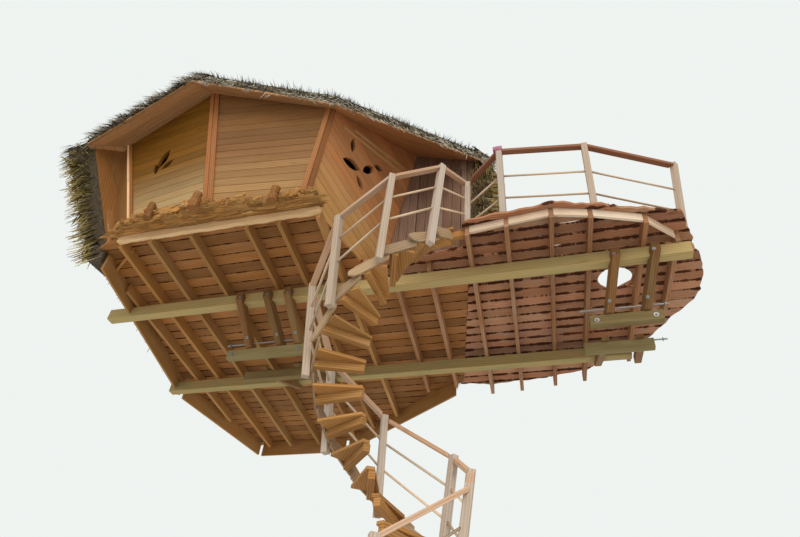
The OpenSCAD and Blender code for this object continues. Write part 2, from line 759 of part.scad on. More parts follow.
// Outline of an outer plank in its own plane: a leaf with its lower tip high and its upper tip low
function plank_edge(i, shares) =
    [for (k = [0:len(shares) - 1])
        let (s = mix(plank_start, plank_end, k / (len(shares) - 1)),
             rough = k == len(shares) - 1 ? 0 : plank_wave * wave(47 * i + 31 * k + 900 * shares[0]))
        [s, s * plank_pitch + plank_rise + plank_h * shares[k] + rough]];
function reversed(list) = [for (k = [len(list) - 1:-1:0]) list[k]];
module stair_planks() {
    color("#dcb684")
        for (i = [1:rises - 1])
            at_tread(i)
                rotate([0, 0, plank_skew])
                    translate([plank_in, 0, 0])
                        rotate([90, 0, 90])
                            linear_extrude(plank_t)
                                polygon(concat(plank_edge(i, plank_foot),
                                    reversed(plank_edge(i, plank_top))));
}

// Railing posts: origin of the foot, direction in which the post leans, angle of lean and length
post_steps = [0.85, 2.8, 4.6, 6.4, 8.85, 11.35, 12.6, 13.85, 16.35, 18.4, 20.5, 22.45, 24.13, 25.93];
rail_up = 20;
post_below = 60;
// How far a post foot moves inward, so that the leaning post bears on the lower edge of the planks
post_in = (post_below - plank_pitch * post_w / 2 - plank_wave) * tan(stair_post_lean);
function stair_post(f) =
    let (k = ceil(f - 0.02),
         across = plank_in * tan((f - k) * tread_turn - plank_skew),
         turn = tread_angle(k) + plank_skew,
         outward = plank_in + plank_t + gap + post_w / 2 / cos(stair_post_lean) - post_in,
         foot = turned([outward, across], turn),
         z = max(ground, tread_z(k) + across * plank_pitch + plank_rise - plank_h / 2 - post_below))
    [[stair_x + foot[0], stair_y + foot[1], z], turn, stair_post_lean,
        (tread_z(f) + rail_h - z) / cos(stair_post_lean)];
deck_post_feet = [[-1480, -620, -70], [-1053, -900, -92], [-166, -790, -88], [668, -385, -35],
    [800, 450, 10], [330, 1290, 40], [-500, 1860, 80], [-1500, 2070, 90]];
deck_post_list = [for (p = deck_post_feet)
    [[p[0], p[1], deck_top + gap], p[2], p[0] < -1400 ? 0 : deck_post_lean, rail_h / cos(deck_post_lean)]];
stair_post_list = [for (f = post_steps) stair_post(f)];

function post_head(p, along) =
    p[0] + along * p[3] * [sin(p[2]) * cos(p[1]), sin(p[2]) * sin(p[1]), cos(p[2])];
module post(p, across, through, over) {
    translate(p[0])
        rotate([0, p[2], p[1]])
            translate([-through / 2, -across / 2, -over])
                cube([through, across, p[3] + 2 * over]);
}
module stair_post_solid(p) {
    intersection() {
        post(p, post_w, post_w, 60);
        translate([p[0][0] - 500, p[0][1] - 500, p[0][2]]) cube([1000, 1000, p[3] * cos(p[2]) + 10]);
    }
}
module stair_posts() { color("#d8b68e") for (p = stair_post_list) stair_post_solid(p); }
module deck_posts() { color("#d8b68e") for (p = deck_post_list) stair_post_solid(p); }

// Rails fit between the posts: each length is cut by planes along the faces of its two posts
module between_posts(p, q) {
    difference() {
        children();
        post(p, post_w + 2 * gap, 4 * post_w, 3 * post_w);
        post(q, post_w + 2 * gap, 4 * post_w, 3 * post_w);
    }
}
module top_rails(list) {
    for (i = [0:len(list) - 2]) {
        p = list[i];
        q = list[i + 1];
        between_posts(p, q)
            timber(post_head(p, 1) - [0, 0, rail_up], post_head(q, 1) - [0, 0, rail_up],
                handrail_w, handrail_t);
    }
}
module round_rails(list, heights) {
    for (i = [0:len(list) - 2], h = heights) {
        p = list[i];
        q = list[i + 1];
        between_posts(p, q)
            rod(post_head(p, h), post_head(q, h), rod_d);
    }
}
stair_run = concat(stair_post_list, [deck_post_list[0]]);
module stair_handrail() { color("#c59468") top_rails(stair_run); }
module stair_rods() { color("#d9b184") round_rails(stair_run, [0.45, 0.72]); }
module deck_handrail() { color("#b07a4e") top_rails(deck_post_list); }
module deck_rods() { color("#d9b184") round_rails(deck_post_list, [0.28, 0.6]); }

front_beam();
back_beam();
right_front_yoke();
right_back_yoke();
left_front_yoke();
left_back_yoke();
yoke_struts();
tie_rods();
deck_joists();
cabin_joists();
deck_floor();
cabin_floor();
deck_rim();
cabin_skirt();
front_ledge();
ledge_board();
front_left_wall();
front_middle_wall();
front_right_wall();
door_wall();
right_wall();
rear_right_wall();
back_wall();
rear_left_wall();
left_wall();
left_cheek();
wall_thatch();
cabin_door();
door_hinges();
hinge_straps();
roof_lining();
thatch_roof();
stair_treads();
stair_bearers();
stair_planks();
stair_posts();
stair_handrail();
stair_rods();
deck_posts();
deck_handrail();
deck_rods();
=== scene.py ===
import math
import random

import bmesh
import bpy
import numpy as np
from mathutils import Matrix, Vector, geometry
from mathutils import noise as lumps
from mathutils.bvhtree import BVHTree


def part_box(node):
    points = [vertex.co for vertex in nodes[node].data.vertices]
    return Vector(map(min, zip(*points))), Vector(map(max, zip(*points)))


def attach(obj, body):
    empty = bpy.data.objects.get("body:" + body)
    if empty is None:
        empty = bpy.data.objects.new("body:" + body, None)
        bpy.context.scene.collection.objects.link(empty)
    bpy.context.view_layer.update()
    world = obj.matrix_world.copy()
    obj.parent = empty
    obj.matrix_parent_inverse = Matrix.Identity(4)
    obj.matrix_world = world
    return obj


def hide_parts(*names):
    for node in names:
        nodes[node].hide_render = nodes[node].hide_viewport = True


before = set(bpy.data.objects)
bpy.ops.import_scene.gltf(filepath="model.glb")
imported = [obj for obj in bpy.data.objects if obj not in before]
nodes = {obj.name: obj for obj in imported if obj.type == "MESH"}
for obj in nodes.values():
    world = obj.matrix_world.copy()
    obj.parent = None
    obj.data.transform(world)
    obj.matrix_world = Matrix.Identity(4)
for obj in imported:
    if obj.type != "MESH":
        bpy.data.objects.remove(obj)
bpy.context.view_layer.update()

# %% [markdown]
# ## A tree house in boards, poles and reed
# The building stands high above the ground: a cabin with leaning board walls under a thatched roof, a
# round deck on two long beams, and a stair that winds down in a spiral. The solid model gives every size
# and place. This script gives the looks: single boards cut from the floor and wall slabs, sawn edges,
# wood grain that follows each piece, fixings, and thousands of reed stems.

house = "house"
scene = bpy.context.scene
x_axis, y_axis, z_axis = Vector((1, 0, 0)), Vector((0, 1, 0)), Vector((0, 0, 1))

# %% [markdown]
# ## Camera
# The camera stood at eye height beside the foot of the stair and looked up, turned a little to one side.
# The pose was worked out from lines that are parallel or level on the real building: the two beams, the
# joists and the treads. Here it is written as a heading, a pitch and a roll.

# %% Camera
camera_at = Vector((-0.62, -5.18, -3.84))
heading = Vector((-0.3256, 0.9455, 0.0))
level_right = Vector((0.9455, 0.3256, 0.0))
pitch = math.radians(42.0)
roll = math.radians(6.0)
focal_pixels = 615.0
image_width = 800.0
forward = heading * math.cos(pitch) + Vector((0, 0, math.sin(pitch)))
level_up = heading * -math.sin(pitch) + Vector((0, 0, math.cos(pitch)))
right = level_right * math.cos(roll) + level_up * math.sin(roll)
up = level_up * math.cos(roll) - level_right * math.sin(roll)

eye = bpy.data.objects.new("camera", bpy.data.cameras.new("camera"))
eye.data.sensor_width = 36.0
eye.data.lens = eye.data.sensor_width * focal_pixels / image_width
eye.data.clip_end = 200.0
turn = Matrix((right, up, -forward)).transposed().to_4x4()
eye.matrix_world = Matrix.Translation(camera_at) @ turn
scene.collection.objects.link(eye)
scene.camera = eye
print("camera lens", round(eye.data.lens, 2), "mm")

# %% [markdown]
# ## Node recipes
# The materials use a handful of nodes again and again: sums and products, noise, ramps and mixes. A
# recipe adds them to one node tree. Most of its methods return the new node's output socket, so that a
# material reads from top to bottom.

# %% Node recipes
class Recipe:
    """Adds nodes to one tree. An input is a socket, which gets linked, or a value, which gets set."""

    def __init__(self, tree):
        self.tree = tree

    def feed(self, node, inputs):
        for key, value in inputs.items():
            entry = node.inputs[key]
            if isinstance(value, bpy.types.NodeSocket):
                self.tree.links.new(value, entry)
            else:
                entry.default_value = (*value, 1.0) if entry.type == "RGBA" else value

    def node(self, kind, inputs=None, **settings):
        made = self.tree.nodes.new("ShaderNode" + kind)
        for key, value in settings.items():
            setattr(made, key, value)
        self.feed(made, inputs or {})
        return made

    def math(self, operation, *values, clamp=False):
        inputs = dict(enumerate(values))
        return self.node("Math", inputs, operation=operation, use_clamp=clamp).outputs[0]

    def times(self, a, b):
        return self.math("MULTIPLY", a, b)

    def scaled(self, value, factor, plus, clamp=False):
        return self.math("MULTIPLY_ADD", value, factor, plus, clamp=clamp)

    def mix(self, factor, a, b, blend="MIX"):
        inputs = {0: factor, 6: a, 7: b}
        return self.node("Mix", inputs, data_type="RGBA", blend_type=blend).outputs[2]

    def tinted(self, colour, tint):
        return self.mix(1.0, colour, tint, "MULTIPLY")

    def stretch(self, vector, scale):
        return self.node("Mapping", {"Vector": vector, "Scale": scale}).outputs[0]

    def noise(self, vector, scale, detail=3.0, rough=0.55):
        inputs = {"Vector": vector, "Scale": scale, "Detail": detail, "Roughness": rough}
        return self.node("TexNoise", inputs).outputs["Fac"]

    def long_noise(self, vector, scale, detail=3.0, rough=0.55):
        """Noise with a scale of its own along each axis."""
        return self.noise(self.stretch(vector, scale), 1.0, detail, rough)

    def ramp(self, factor, *stops):
        """A colour ramp from (place, grey) or (place, colour) pairs."""
        made = self.node("ValToRGB", {"Fac": factor})
        elements = made.color_ramp.elements
        while len(elements) < len(stops):
            elements.new(0.5)
        for element, (place, value) in zip(elements, stops):
            element.position = place
            element.color = (*value, 1.0) if isinstance(value, tuple) else (value, value, value, 1.0)
        return made.outputs["Color"]

    def axis(self, vector, letter):
        return self.node("SeparateXYZ", {0: vector}).outputs[letter]

    def spot(self):
        """The place in the object's own coordinates, which are those of the solid model."""
        return self.node("TexCoord").outputs["Object"]

    def grain_uv(self):
        return self.node("UVMap", uv_map="grain").outputs[0]

    def tone(self):
        return self.node("Attribute", attribute_name="tone").outputs["Fac"]

    def bump(self, height, strength, distance):
        inputs = {"Height": height, "Strength": strength, "Distance": distance}
        return self.node("Bump", inputs).outputs[0]

    def use(self, effect, inputs):
        """Places a shared effect, and gives back its outputs by name."""
        return self.node("Group", inputs, node_tree=effect.tree).outputs

    def put_out(self, results):
        self.feed(self.tree.nodes.new("NodeGroupOutput"), results)


# %% Materials and shared effects
def new_material(name):
    """A material, the recipe of its node tree and its one Principled shader."""
    material = bpy.data.materials.new(name)
    material.use_nodes = True
    material.node_tree.nodes.clear()
    recipe = Recipe(material.node_tree)
    shader = recipe.node("BsdfPrincipled")
    recipe.node("OutputMaterial", {"Surface": shader.outputs["BSDF"]})
    return material, recipe, shader


def shared_effect(name, inputs, outputs):
    """A node group with named sockets: its recipe, and the sockets that it is given."""
    group = bpy.data.node_groups.new(name, "ShaderNodeTree")
    for side, kinds in (("INPUT", inputs), ("OUTPUT", outputs)):
        for socket, kind in kinds.items():
            group.interface.new_socket(name=socket, in_out=side, socket_type="NodeSocket" + kind)
    return Recipe(group), group.nodes.new("NodeGroupInput").outputs


# %% [markdown]
# ## Light and ground
# A house high up is lit evenly from all round, and some light comes back up to it from the ground. A
# world light does most of the work; the camera and glossy rays see a plain backdrop colour instead. One
# very broad light comes from the front and a little above, so the eave shades the top of the walls
# softly, one comes from above on the left, and one from below stands for light from the ground. The pale
# ground is a plain disc.

# %% Light
scene.view_settings.view_transform = "Standard"
sky_colour, sky_strength = (0.95, 0.975, 1.0), 0.60
backdrop_colour = (0.86, 0.90, 0.88)
warm_white = (1.0, 0.97, 0.92)
broad_lights = {
    "sun from the left": ((0.55, 0.75, -0.85), 0.5, 25),
    "light from the front": ((-0.30, 0.80, -0.50), 1.7, 50),
    "light from the ground": ((0.05, 0.35, 0.90), 0.90, 90),
}

scene.world = bpy.data.worlds.new("open sky")
scene.world.use_nodes = True
scene.world.node_tree.nodes.clear()
sky = Recipe(scene.world.node_tree)
lit = sky.node("Background", {"Color": sky_colour, "Strength": sky_strength})
seen = sky.node("Background", {"Color": backdrop_colour, "Strength": 1.0})
ray = sky.node("LightPath").outputs
straight = sky.math("MAXIMUM", ray["Is Camera Ray"], ray["Is Glossy Ray"])
either = sky.node("MixShader", {0: straight, 1: lit.outputs[0], 2: seen.outputs[0]})
sky.node("OutputWorld", {"Surface": either.outputs[0]})

for name, (toward, strength, spread) in broad_lights.items():
    lamp = bpy.data.lights.new(name, "SUN")
    lamp.energy = strength
    lamp.angle = math.radians(spread)
    lamp.color = warm_white
    holder = bpy.data.objects.new(name, lamp)
    holder.rotation_euler = Vector(toward).to_track_quat("-Z", "Y").to_euler()
    scene.collection.objects.link(holder)
print("lights:", ", ".join(broad_lights))


# %% Ground
def show(name, data, material):
    """Puts a mesh into the scene as an object with one material."""
    made = bpy.data.objects.new(name, data)
    scene.collection.objects.link(made)
    data.materials.append(material)
    return made


ground_z = -5.44
ground_material, _, shader = new_material("pale ground")
shader.inputs["Base Color"].default_value = (0.80, 0.81, 0.79, 1.0)
shader.inputs["Roughness"].default_value = 1.0
disc = bmesh.new()
bmesh.ops.create_circle(disc, cap_ends=True, segments=96, radius=40.0)
bmesh.ops.translate(disc, verts=disc.verts, vec=(-2.5, 0.0, ground_z))
ground_mesh = bpy.data.meshes.new("ground")
disc.to_mesh(ground_mesh)
disc.free()
ground = show("ground", ground_mesh, ground_material)
print("ground at", ground_z, "m")

# %% [markdown]
# ## Wood grain as a shared effect
# All the timber here is sawn larch or oak. What changes from piece to piece is its colour, how rough the
# saw left it and how many knots it has. So the grain is one node group with those as inputs. It reads a
# UV map in metres whose U runs along the piece, which makes the streaks follow every post and board, and
# a tone number that each board has for itself. A picture of wood would repeat from board to board; noise
# at a random place on the grain doesn't.

# %% Wood grain group
grain_inputs = {"Place": "Vector", "Tone": "Float", "Early Wood": "Color", "Late Wood": "Color",
                "Weathered": "Color", "Weathering": "Float", "Board Tint": "Color",
                "Tone Spread": "Float", "Knots": "Float", "Swirl": "Float", "Roughness": "Float"}
grain_outputs = {"Color": "Color", "Roughness": "Float", "Height": "Float"}
grain, given = shared_effect("Sawn Grain", grain_inputs, grain_outputs)
place = given["Place"]
print("the grain takes:", ", ".join(grain_inputs))

# %% Growth rings and fibres
# Rings that are cut lengthwise are bands across the board that wander along it.
rings_per_metre, full_turn = 42.0, 6.2832
wander = grain.long_noise(place, (0.9, 5.0, 5.0), 2.0, 0.5)
ring_place = grain.scaled(grain.axis(place, "Y"), rings_per_metre, grain.times(wander, given["Swirl"]))
rings = grain.scaled(grain.math("SINE", grain.times(ring_place, full_turn)), 0.5, 0.5)
fibre = grain.long_noise(place, (2.5, 150.0, 150.0), 4.0, 0.6)
patch = grain.long_noise(place, (1.6, 9.0, 9.0))
streaks = grain.math("ADD", grain.times(rings, 0.28), grain.times(fibre, 0.72))
wood = grain.mix(grain.ramp(streaks, (0.28, 0.0), (0.72, 1.0)), given["Early Wood"], given["Late Wood"])

# %% Knots
# Knots are dark ovals, a few to the metre.
share_with_knot = 0.35
cells = grain.node("TexVoronoi", {"Vector": grain.stretch(place, (2.3, 7.5, 7.5)), "Scale": 1.0}).outputs
knot_mask = grain.ramp(cells["Distance"], (0.0, 1.0), (0.06, 0.85), (0.11, 0.25), (0.19, 0.0))
cell_pick = grain.node("SeparateColor", {0: cells["Color"]}).outputs[0]
knot_here = grain.math("LESS_THAN", cell_pick, share_with_knot)
knot_amount = grain.times(grain.times(knot_mask, knot_here), given["Knots"])
knot_colour = grain.mix(0.65, given["Late Wood"], (0.10, 0.045, 0.02))
wood = grain.mix(knot_amount, wood, knot_colour)

# %% Weather, hue and tone of a board
# Weather makes the colour greyer and flatter in long patches, more on some boards than on others.
own_weather = grain.scaled(grain.math("FRACT", grain.times(given["Tone"], 13.7)), 1.2, 0.4)
weather = grain.math("MULTIPLY", grain.ramp(patch, (0.35, 0.0), (0.68, 1.0)),
                     grain.times(given["Weathering"], own_weather), clamp=True)
wood = grain.mix(weather, wood, given["Weathered"])

# Each board came from its own log, so some lean towards a second hue.
own_hue = grain.math("FRACT", grain.times(given["Tone"], 7.31))
wood = grain.mix(own_hue, wood, grain.tinted(wood, given["Board Tint"]))

# Each board has its own tone, lighter or darker than the next.
tone_shift = grain.times(grain.math("SUBTRACT", given["Tone"], 0.5), given["Tone Spread"])
patch_shift = grain.times(grain.math("SUBTRACT", patch, 0.5), 0.35)
bright = grain.math("ADD", grain.math("ADD", tone_shift, patch_shift), 1.0)
grey = grain.node("CombineColor", dict.fromkeys(("Red", "Green", "Blue"), bright))
wood = grain.tinted(wood, grey.outputs[0])

# %% Sawn surface
# Fibres stand up, late wood is harder, and the saw left marks across the board.
saw_marks = grain.long_noise(place, (260.0, 7.0, 7.0), 2.0, 0.5)
height = grain.scaled(fibre, 0.6, grain.times(rings, 0.12))
height = grain.scaled(saw_marks, 0.28, height)
height = grain.scaled(knot_amount, -0.25, height)
rough = grain.scaled(fibre, 0.2, given["Roughness"], clamp=True)
grain.put_out({"Color": wood, "Roughness": rough, "Height": height})
print("wood grain group:", len(grain.tree.nodes), "nodes")

# %% [markdown]
# ## Painted eave shade and bark as shared effects
# The foot of the walls keeps the colour of the grain, while high up under the eave the cladding is tinted
# deeper and darker: this is painted shade, standing for the shade of the eave. The floor boards keep a
# ragged strip of bark along their joints. Several woods need each of these, so each is a small group of
# its own that is put after the grain and changes only its colour.

# %% Painted eave shade group
# Painted shade: the cladding is tinted darker from the first height up to the second, where the eave's
# shade is full.
eave_shade_from = 1.05
eave_shade_full = 1.60
eave_shade_effect, given = shared_effect("Painted Eave Shade", {
    "Color": "Color", "Tint": "Color", "Place": "Vector"}, {"Color": "Color"})
above = eave_shade_effect.math("SUBTRACT", eave_shade_effect.axis(given["Place"], "Z"), eave_shade_from)
share = eave_shade_effect.math("DIVIDE", above, eave_shade_full - eave_shade_from, clamp=True)
eave_shaded = eave_shade_effect.tinted(given["Color"], given["Tint"])
eave_shade_effect.put_out({"Color": eave_shade_effect.mix(share, given["Color"], eave_shaded)})
print("the cladding keeps its colour above", eave_shade_full, "m")

# %% Bark group
floor_pitch = 0.155
bark_shade = (0.20, 0.13, 0.10)
bark_blur = 0.006
bark_effect, given = shared_effect("Bark Along Joints", {
    "Color": "Color", "Place": "Vector", "First Joint": "Float", "Widest": "Float"}, {"Color": "Color"})
sideways = bark_effect.math("SUBTRACT", bark_effect.axis(given["Place"], "Y"), given["First Joint"])
from_joint = bark_effect.math("PINGPONG", sideways, floor_pitch / 2)
ragged = bark_effect.long_noise(given["Place"], (7.0, 2.0, 1.0), 5.0, 0.7)
strip = bark_effect.times(bark_effect.scaled(ragged, 2.6, -0.8), given["Widest"])
share = bark_effect.math("DIVIDE", bark_effect.math("SUBTRACT", strip, from_joint), bark_blur, clamp=True)
barky = bark_effect.tinted(given["Color"], bark_shade)
bark_effect.put_out({"Color": bark_effect.mix(share, given["Color"], barky)})
print("bark every", floor_pitch, "m")

# %% [markdown]
# ## The woods of this house
# Colours come from what each part is: larch cladding that is still orange, beams that algae have turned
# yellow green, deck boards that the wet has made red brown, and peeled poles that are almost pink. Each
# wood is the same grain with numbers of its own, so a colour can be changed in one line.

# %% Timber material
deck_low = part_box("deck_floor")[0][1]
cabin_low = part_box("cabin_floor")[0][1]


def timber(name, early, late, weathered=(0.42, 0.40, 0.34), weathering=0.15, tint=(1.0, 0.92, 0.84),
           spread=0.35, knots=0.5, swirl=2.0, roughness=0.55, bump=0.5, depth=0.002, eave_shade_tint=None,
           bark_strip=None):
    """A wood of the house. The tint given for high up on the walls is painted shade: it darkens the wood
    under the eave, where the eave's shade falls. bark_strip tells where the first joint of floor boards
    is, and how wide the bark along their joints gets."""
    material, r, shader = new_material(name)
    wood = r.use(grain, {
        "Place": r.grain_uv(), "Tone": r.tone(), "Early Wood": early, "Late Wood": late,
        "Weathered": weathered, "Weathering": weathering, "Board Tint": tint, "Tone Spread": spread,
        "Knots": knots, "Swirl": swirl, "Roughness": roughness})
    colour = wood["Color"]
    # Painted shade of the eave, tinted into the wood high up on the walls.
    if eave_shade_tint:
        colour = r.use(eave_shade_effect, {"Color": colour, "Tint": eave_shade_tint, "Place": r.spot()})["Color"]
    if bark_strip:
        first_joint, widest = bark_strip
        colour = r.use(bark_effect, {"Color": colour, "Place": r.spot(), "First Joint": first_joint,
                                     "Widest": widest})["Color"]
    r.feed(shader, {"Base Color": colour, "Roughness": wood["Roughness"], "Specular IOR Level": 0.12,
                    "Normal": r.bump(wood["Height"], bump, depth)})
    return material


# %% Woods of the frame and the floors
green_grey = (0.32, 0.30, 0.14)
beam_wood = timber(
    "beam larch with algae", (0.66, 0.49, 0.22), (0.42, 0.29, 0.11), green_grey, weathering=0.5,
    spread=0.25, knots=0.6, roughness=0.7)
collar_wood = timber(
    "collar larch with algae", (0.29, 0.21, 0.09), (0.19, 0.135, 0.055), green_grey, weathering=0.35,
    spread=0.3, knots=0.6, roughness=0.7)
orange_wood = timber("orange larch", (0.50, 0.265, 0.082), (0.29, 0.127, 0.03), weathering=0.08)
strut_wood = timber(
    "knee larch", (0.30, 0.145, 0.05), (0.17, 0.075, 0.024), green_grey, weathering=0.25,
    tint=(0.85, 0.75, 0.70))
cabin_floor_wood = timber(
    "cabin floor boards", (0.44, 0.195, 0.055), (0.26, 0.093, 0.022), weathering=0.06,
    tint=(0.82, 0.82, 0.82), spread=0.55, knots=0.8, bark_strip=(cabin_low, 0.018))
deck_wood = timber(
    "deck boards", (0.72, 0.37, 0.19), (0.38, 0.16, 0.07), (0.36, 0.29, 0.22), weathering=0.4,
    tint=(0.70, 0.60, 0.60), spread=0.75, knots=0.8, swirl=3.0, roughness=0.75, bump=1.0, depth=0.004,
    bark_strip=(deck_low, 0.044))
joist_wood = timber("deck joists", (0.44, 0.21, 0.085), (0.25, 0.105, 0.045), weathering=0.2)

# %% Woods of the walls, the roof and the door
planed = dict(weathering=0.03, swirl=0.9, roughness=0.5, bump=0.25)
# The high-up tints of the claddings are painted shade, the shade of the eave.
yellow_wall_wood = timber(
    "yellow wall cladding", (0.50, 0.36, 0.175), (0.355, 0.23, 0.097), spread=0.25,
    eave_shade_tint=(0.44, 0.27, 0.06), **planed)
wall_wood = timber(
    "wall cladding", (0.43, 0.26, 0.10), (0.305, 0.16, 0.06), spread=0.28, eave_shade_tint=(0.60, 0.50, 0.45),
    **planed)
tall_wall_wood = timber(
    "tall wall cladding", (0.60, 0.365, 0.135), (0.43, 0.222, 0.077), spread=0.28,
    eave_shade_tint=(0.92, 0.71, 0.75), **planed)
batten_wood = timber("tall wall battens", (0.72, 0.45, 0.20), (0.52, 0.29, 0.115), weathering=0.03)
soffit_wood = timber(
    "roof lining boards", (0.60, 0.335, 0.15), (0.40, 0.195, 0.078), **(planed | {"weathering": 0.04}))
cheek_wood = timber(
    "dark cheek boards", (0.30, 0.138, 0.038), (0.185, 0.079, 0.02), spread=0.3,
    **(planed | {"bump": 0.3}))
trim_wood = timber(
    "reddish trim", (0.40, 0.17, 0.055), (0.26, 0.095, 0.028), spread=0.4, knots=0.4,
    **(planed | {"bump": 0.3}))
door_wood = timber(
    "dark red boards", (0.27, 0.155, 0.10), (0.16, 0.085, 0.055), spread=0.4, roughness=0.5)

# %% Woods of the stair, the ledge and the rails
pale_wood = timber(
    "peeled pale timber", (0.60, 0.50, 0.40), (0.44, 0.35, 0.27), (0.42, 0.37, 0.33), weathering=0.3,
    spread=0.2, knots=0.6)
plank_wood = timber(
    "pale waney planks", (0.56, 0.38, 0.21), (0.33, 0.20, 0.095), (0.42, 0.34, 0.26), weathering=0.3,
    tint=(0.86, 0.82, 0.80), spread=0.4, knots=0.6)
rim_wood = timber("pale rim planks", (0.86, 0.70, 0.54), (0.66, 0.49, 0.34), weathering=0.2)
ledge_wood = timber("pale ledge timber", (0.86, 0.64, 0.38), (0.66, 0.42, 0.20), weathering=0.1)
rail_wood = timber(
    "grey pink stair rail", (0.66, 0.43, 0.27), (0.46, 0.27, 0.15), (0.54, 0.44, 0.37), weathering=0.5,
    spread=0.3, knots=0.4)
deck_rail_wood = timber(
    "dark red deck rail", (0.32, 0.14, 0.075), (0.19, 0.075, 0.038), (0.28, 0.18, 0.14),
    weathering=0.35, spread=0.3, knots=0.4)
bark_wood = timber(
    "bark edge board", (0.56, 0.28, 0.08), (0.20, 0.075, 0.02), (0.46, 0.30, 0.12), weathering=0.5,
    spread=0.6, knots=0.9, swirl=5.0, roughness=0.85, bump=1.0, depth=0.008)
stub_wood = timber(
    "knotty stub", (0.34, 0.14, 0.035), (0.15, 0.055, 0.015), (0.28, 0.17, 0.08), weathering=0.4,
    knots=1.0, swirl=4.0, roughness=0.8, bump=1.0, depth=0.006)
rod_wood = timber("peeled sticks", (0.80, 0.64, 0.46), (0.60, 0.44, 0.29), weathering=0.25, knots=0.3)
print("woods:", len(bpy.data.materials) - 1)

# %% [markdown]
# ## Turning solids into timbers
# Every post, joist and rail exists as a solid in the model. A sawn piece of wood never has knife-sharp
# arrises, and its grain runs along its length. The timbers could be modelled again for the looks, but a
# copy keeps every size and place. So each solid is copied, its edges are eased with a small bevel, and
# its faces are unwrapped straight along the piece in metres.

# %% Copies of the model's solids
random.seed(7)


def clean_copy(node):
    """A bmesh copy of a model node with its loose triangles joined."""
    mesh = bmesh.new()
    mesh.from_mesh(nodes[node].data)
    bmesh.ops.remove_doubles(mesh, verts=mesh.verts, dist=1e-5)
    return mesh


def join_flat(mesh):
    """Joins the faces that lie in one plane."""
    bmesh.ops.dissolve_limit(mesh, angle_limit=0.01, verts=mesh.verts, edges=mesh.edges)


def grain_layers(mesh):
    mesh.loops.layers.uv.new("grain")
    mesh.faces.layers.float.new("tone")


def grained_mesh():
    mesh = bmesh.new()
    grain_layers(mesh)
    return mesh


def islands(mesh):
    """The separate solids of a bmesh, each as a list of its faces."""
    left = set(mesh.faces)
    groups = []
    for start in mesh.faces:
        if start not in left:
            continue
        left.discard(start)
        found = [start]
        for face in found:
            for edge in face.edges:
                for other in edge.link_faces:
                    if other in left:
                        left.discard(other)
                        found.append(other)
        groups.append(found)
    return groups


# %% Unwrapping along the grain
def longest_direction(faces):
    best = max((e for f in faces for e in f.edges), key=lambda e: e.calc_length())
    return (best.verts[1].co - best.verts[0].co).normalized()


def unwrap_along(mesh, faces, along):
    """U in metres along the piece and V across it, at a random place on the grain, with one tone."""
    uv = mesh.loops.layers.uv["grain"]
    tone_layer = mesh.faces.layers.float["tone"]
    side = along.cross(z_axis if abs(along.z) < 0.8 else x_axis).normalized()
    lift = side.cross(along).normalized()
    tone = random.random()
    shift_u = random.uniform(0, 40)
    shift_v = random.uniform(0, 40)
    for face in faces:
        face[tone_layer] = tone
        normal = face.normal
        if abs(normal.dot(along)) > 0.75:
            first, second = side, lift
        elif abs(normal.dot(side)) > abs(normal.dot(lift)):
            first, second = along, lift
        else:
            first, second = along, side
        for loop in face.loops:
            co = loop.vert.co
            loop[uv].uv = (co.dot(first) + shift_u, co.dot(second) + shift_v)


# %% Easing edges and joining parts
def bevel(mesh, edges, width, segments, **more):
    bmesh.ops.bevel(mesh, geom=edges, offset=width, segments=segments, profile=0.5, affect="EDGES",
                    material=-1, **more)


def ease_edges(mesh, width, angle=0.5):
    sharp = [e for e in mesh.edges if len(e.link_faces) == 2 and e.calc_face_angle() > angle]
    bevel(mesh, sharp, width, 2, clamp_overlap=True)


def add_to(target, part):
    """Puts a finished bmesh into a larger one and frees it."""
    carrier = bpy.data.meshes.new("part")
    part.to_mesh(carrier)
    part.free()
    target.from_mesh(carrier)
    bpy.data.meshes.remove(carrier)


def add_grained(target, part, along):
    """Unwraps a bmesh along its length and puts it into a larger one."""
    part.normal_update()
    unwrap_along(part, part.faces, along)
    add_to(target, part)


# %% Finishing a piece
def finish_piece(mesh, name, material, stands_for=(), body=house, smooth=False):
    """Makes the object, gives it its material and ties it to its body."""
    data = bpy.data.meshes.new(name)
    mesh.to_mesh(data)
    mesh.free()
    if smooth:
        data.shade_smooth()
        data.set_sharp_from_angle(angle=math.radians(25.0))
    piece = show(name, data, material)
    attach(piece, body)
    if stands_for:
        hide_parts(*stands_for)


def dress_timbers(node, material, ease):
    """Copies a node and unwraps each solid along its own length. Round sticks have no edges to ease:
    they are smooth round the side."""
    mesh = clean_copy(node)
    if ease:
        join_flat(mesh)
    grain_layers(mesh)
    if ease:
        ease_edges(mesh, ease)
    mesh.normal_update()
    groups = islands(mesh)
    for faces in groups:
        unwrap_along(mesh, faces, longest_direction(faces))
        if not ease:
            for face in faces:
                face.smooth = len(face.verts) <= 4
    finish_piece(mesh, node + "_timber", material, (node,))
    print(f"{node}: {len(groups)} timbers")


# %% [markdown]
# ## Frame timbers, joists, posts and rails
# The same helper dresses every straight timber of the house. Heavy beams get a wider eased edge than the
# slim rails, because a beam's corner is knocked and rounded more in handling.

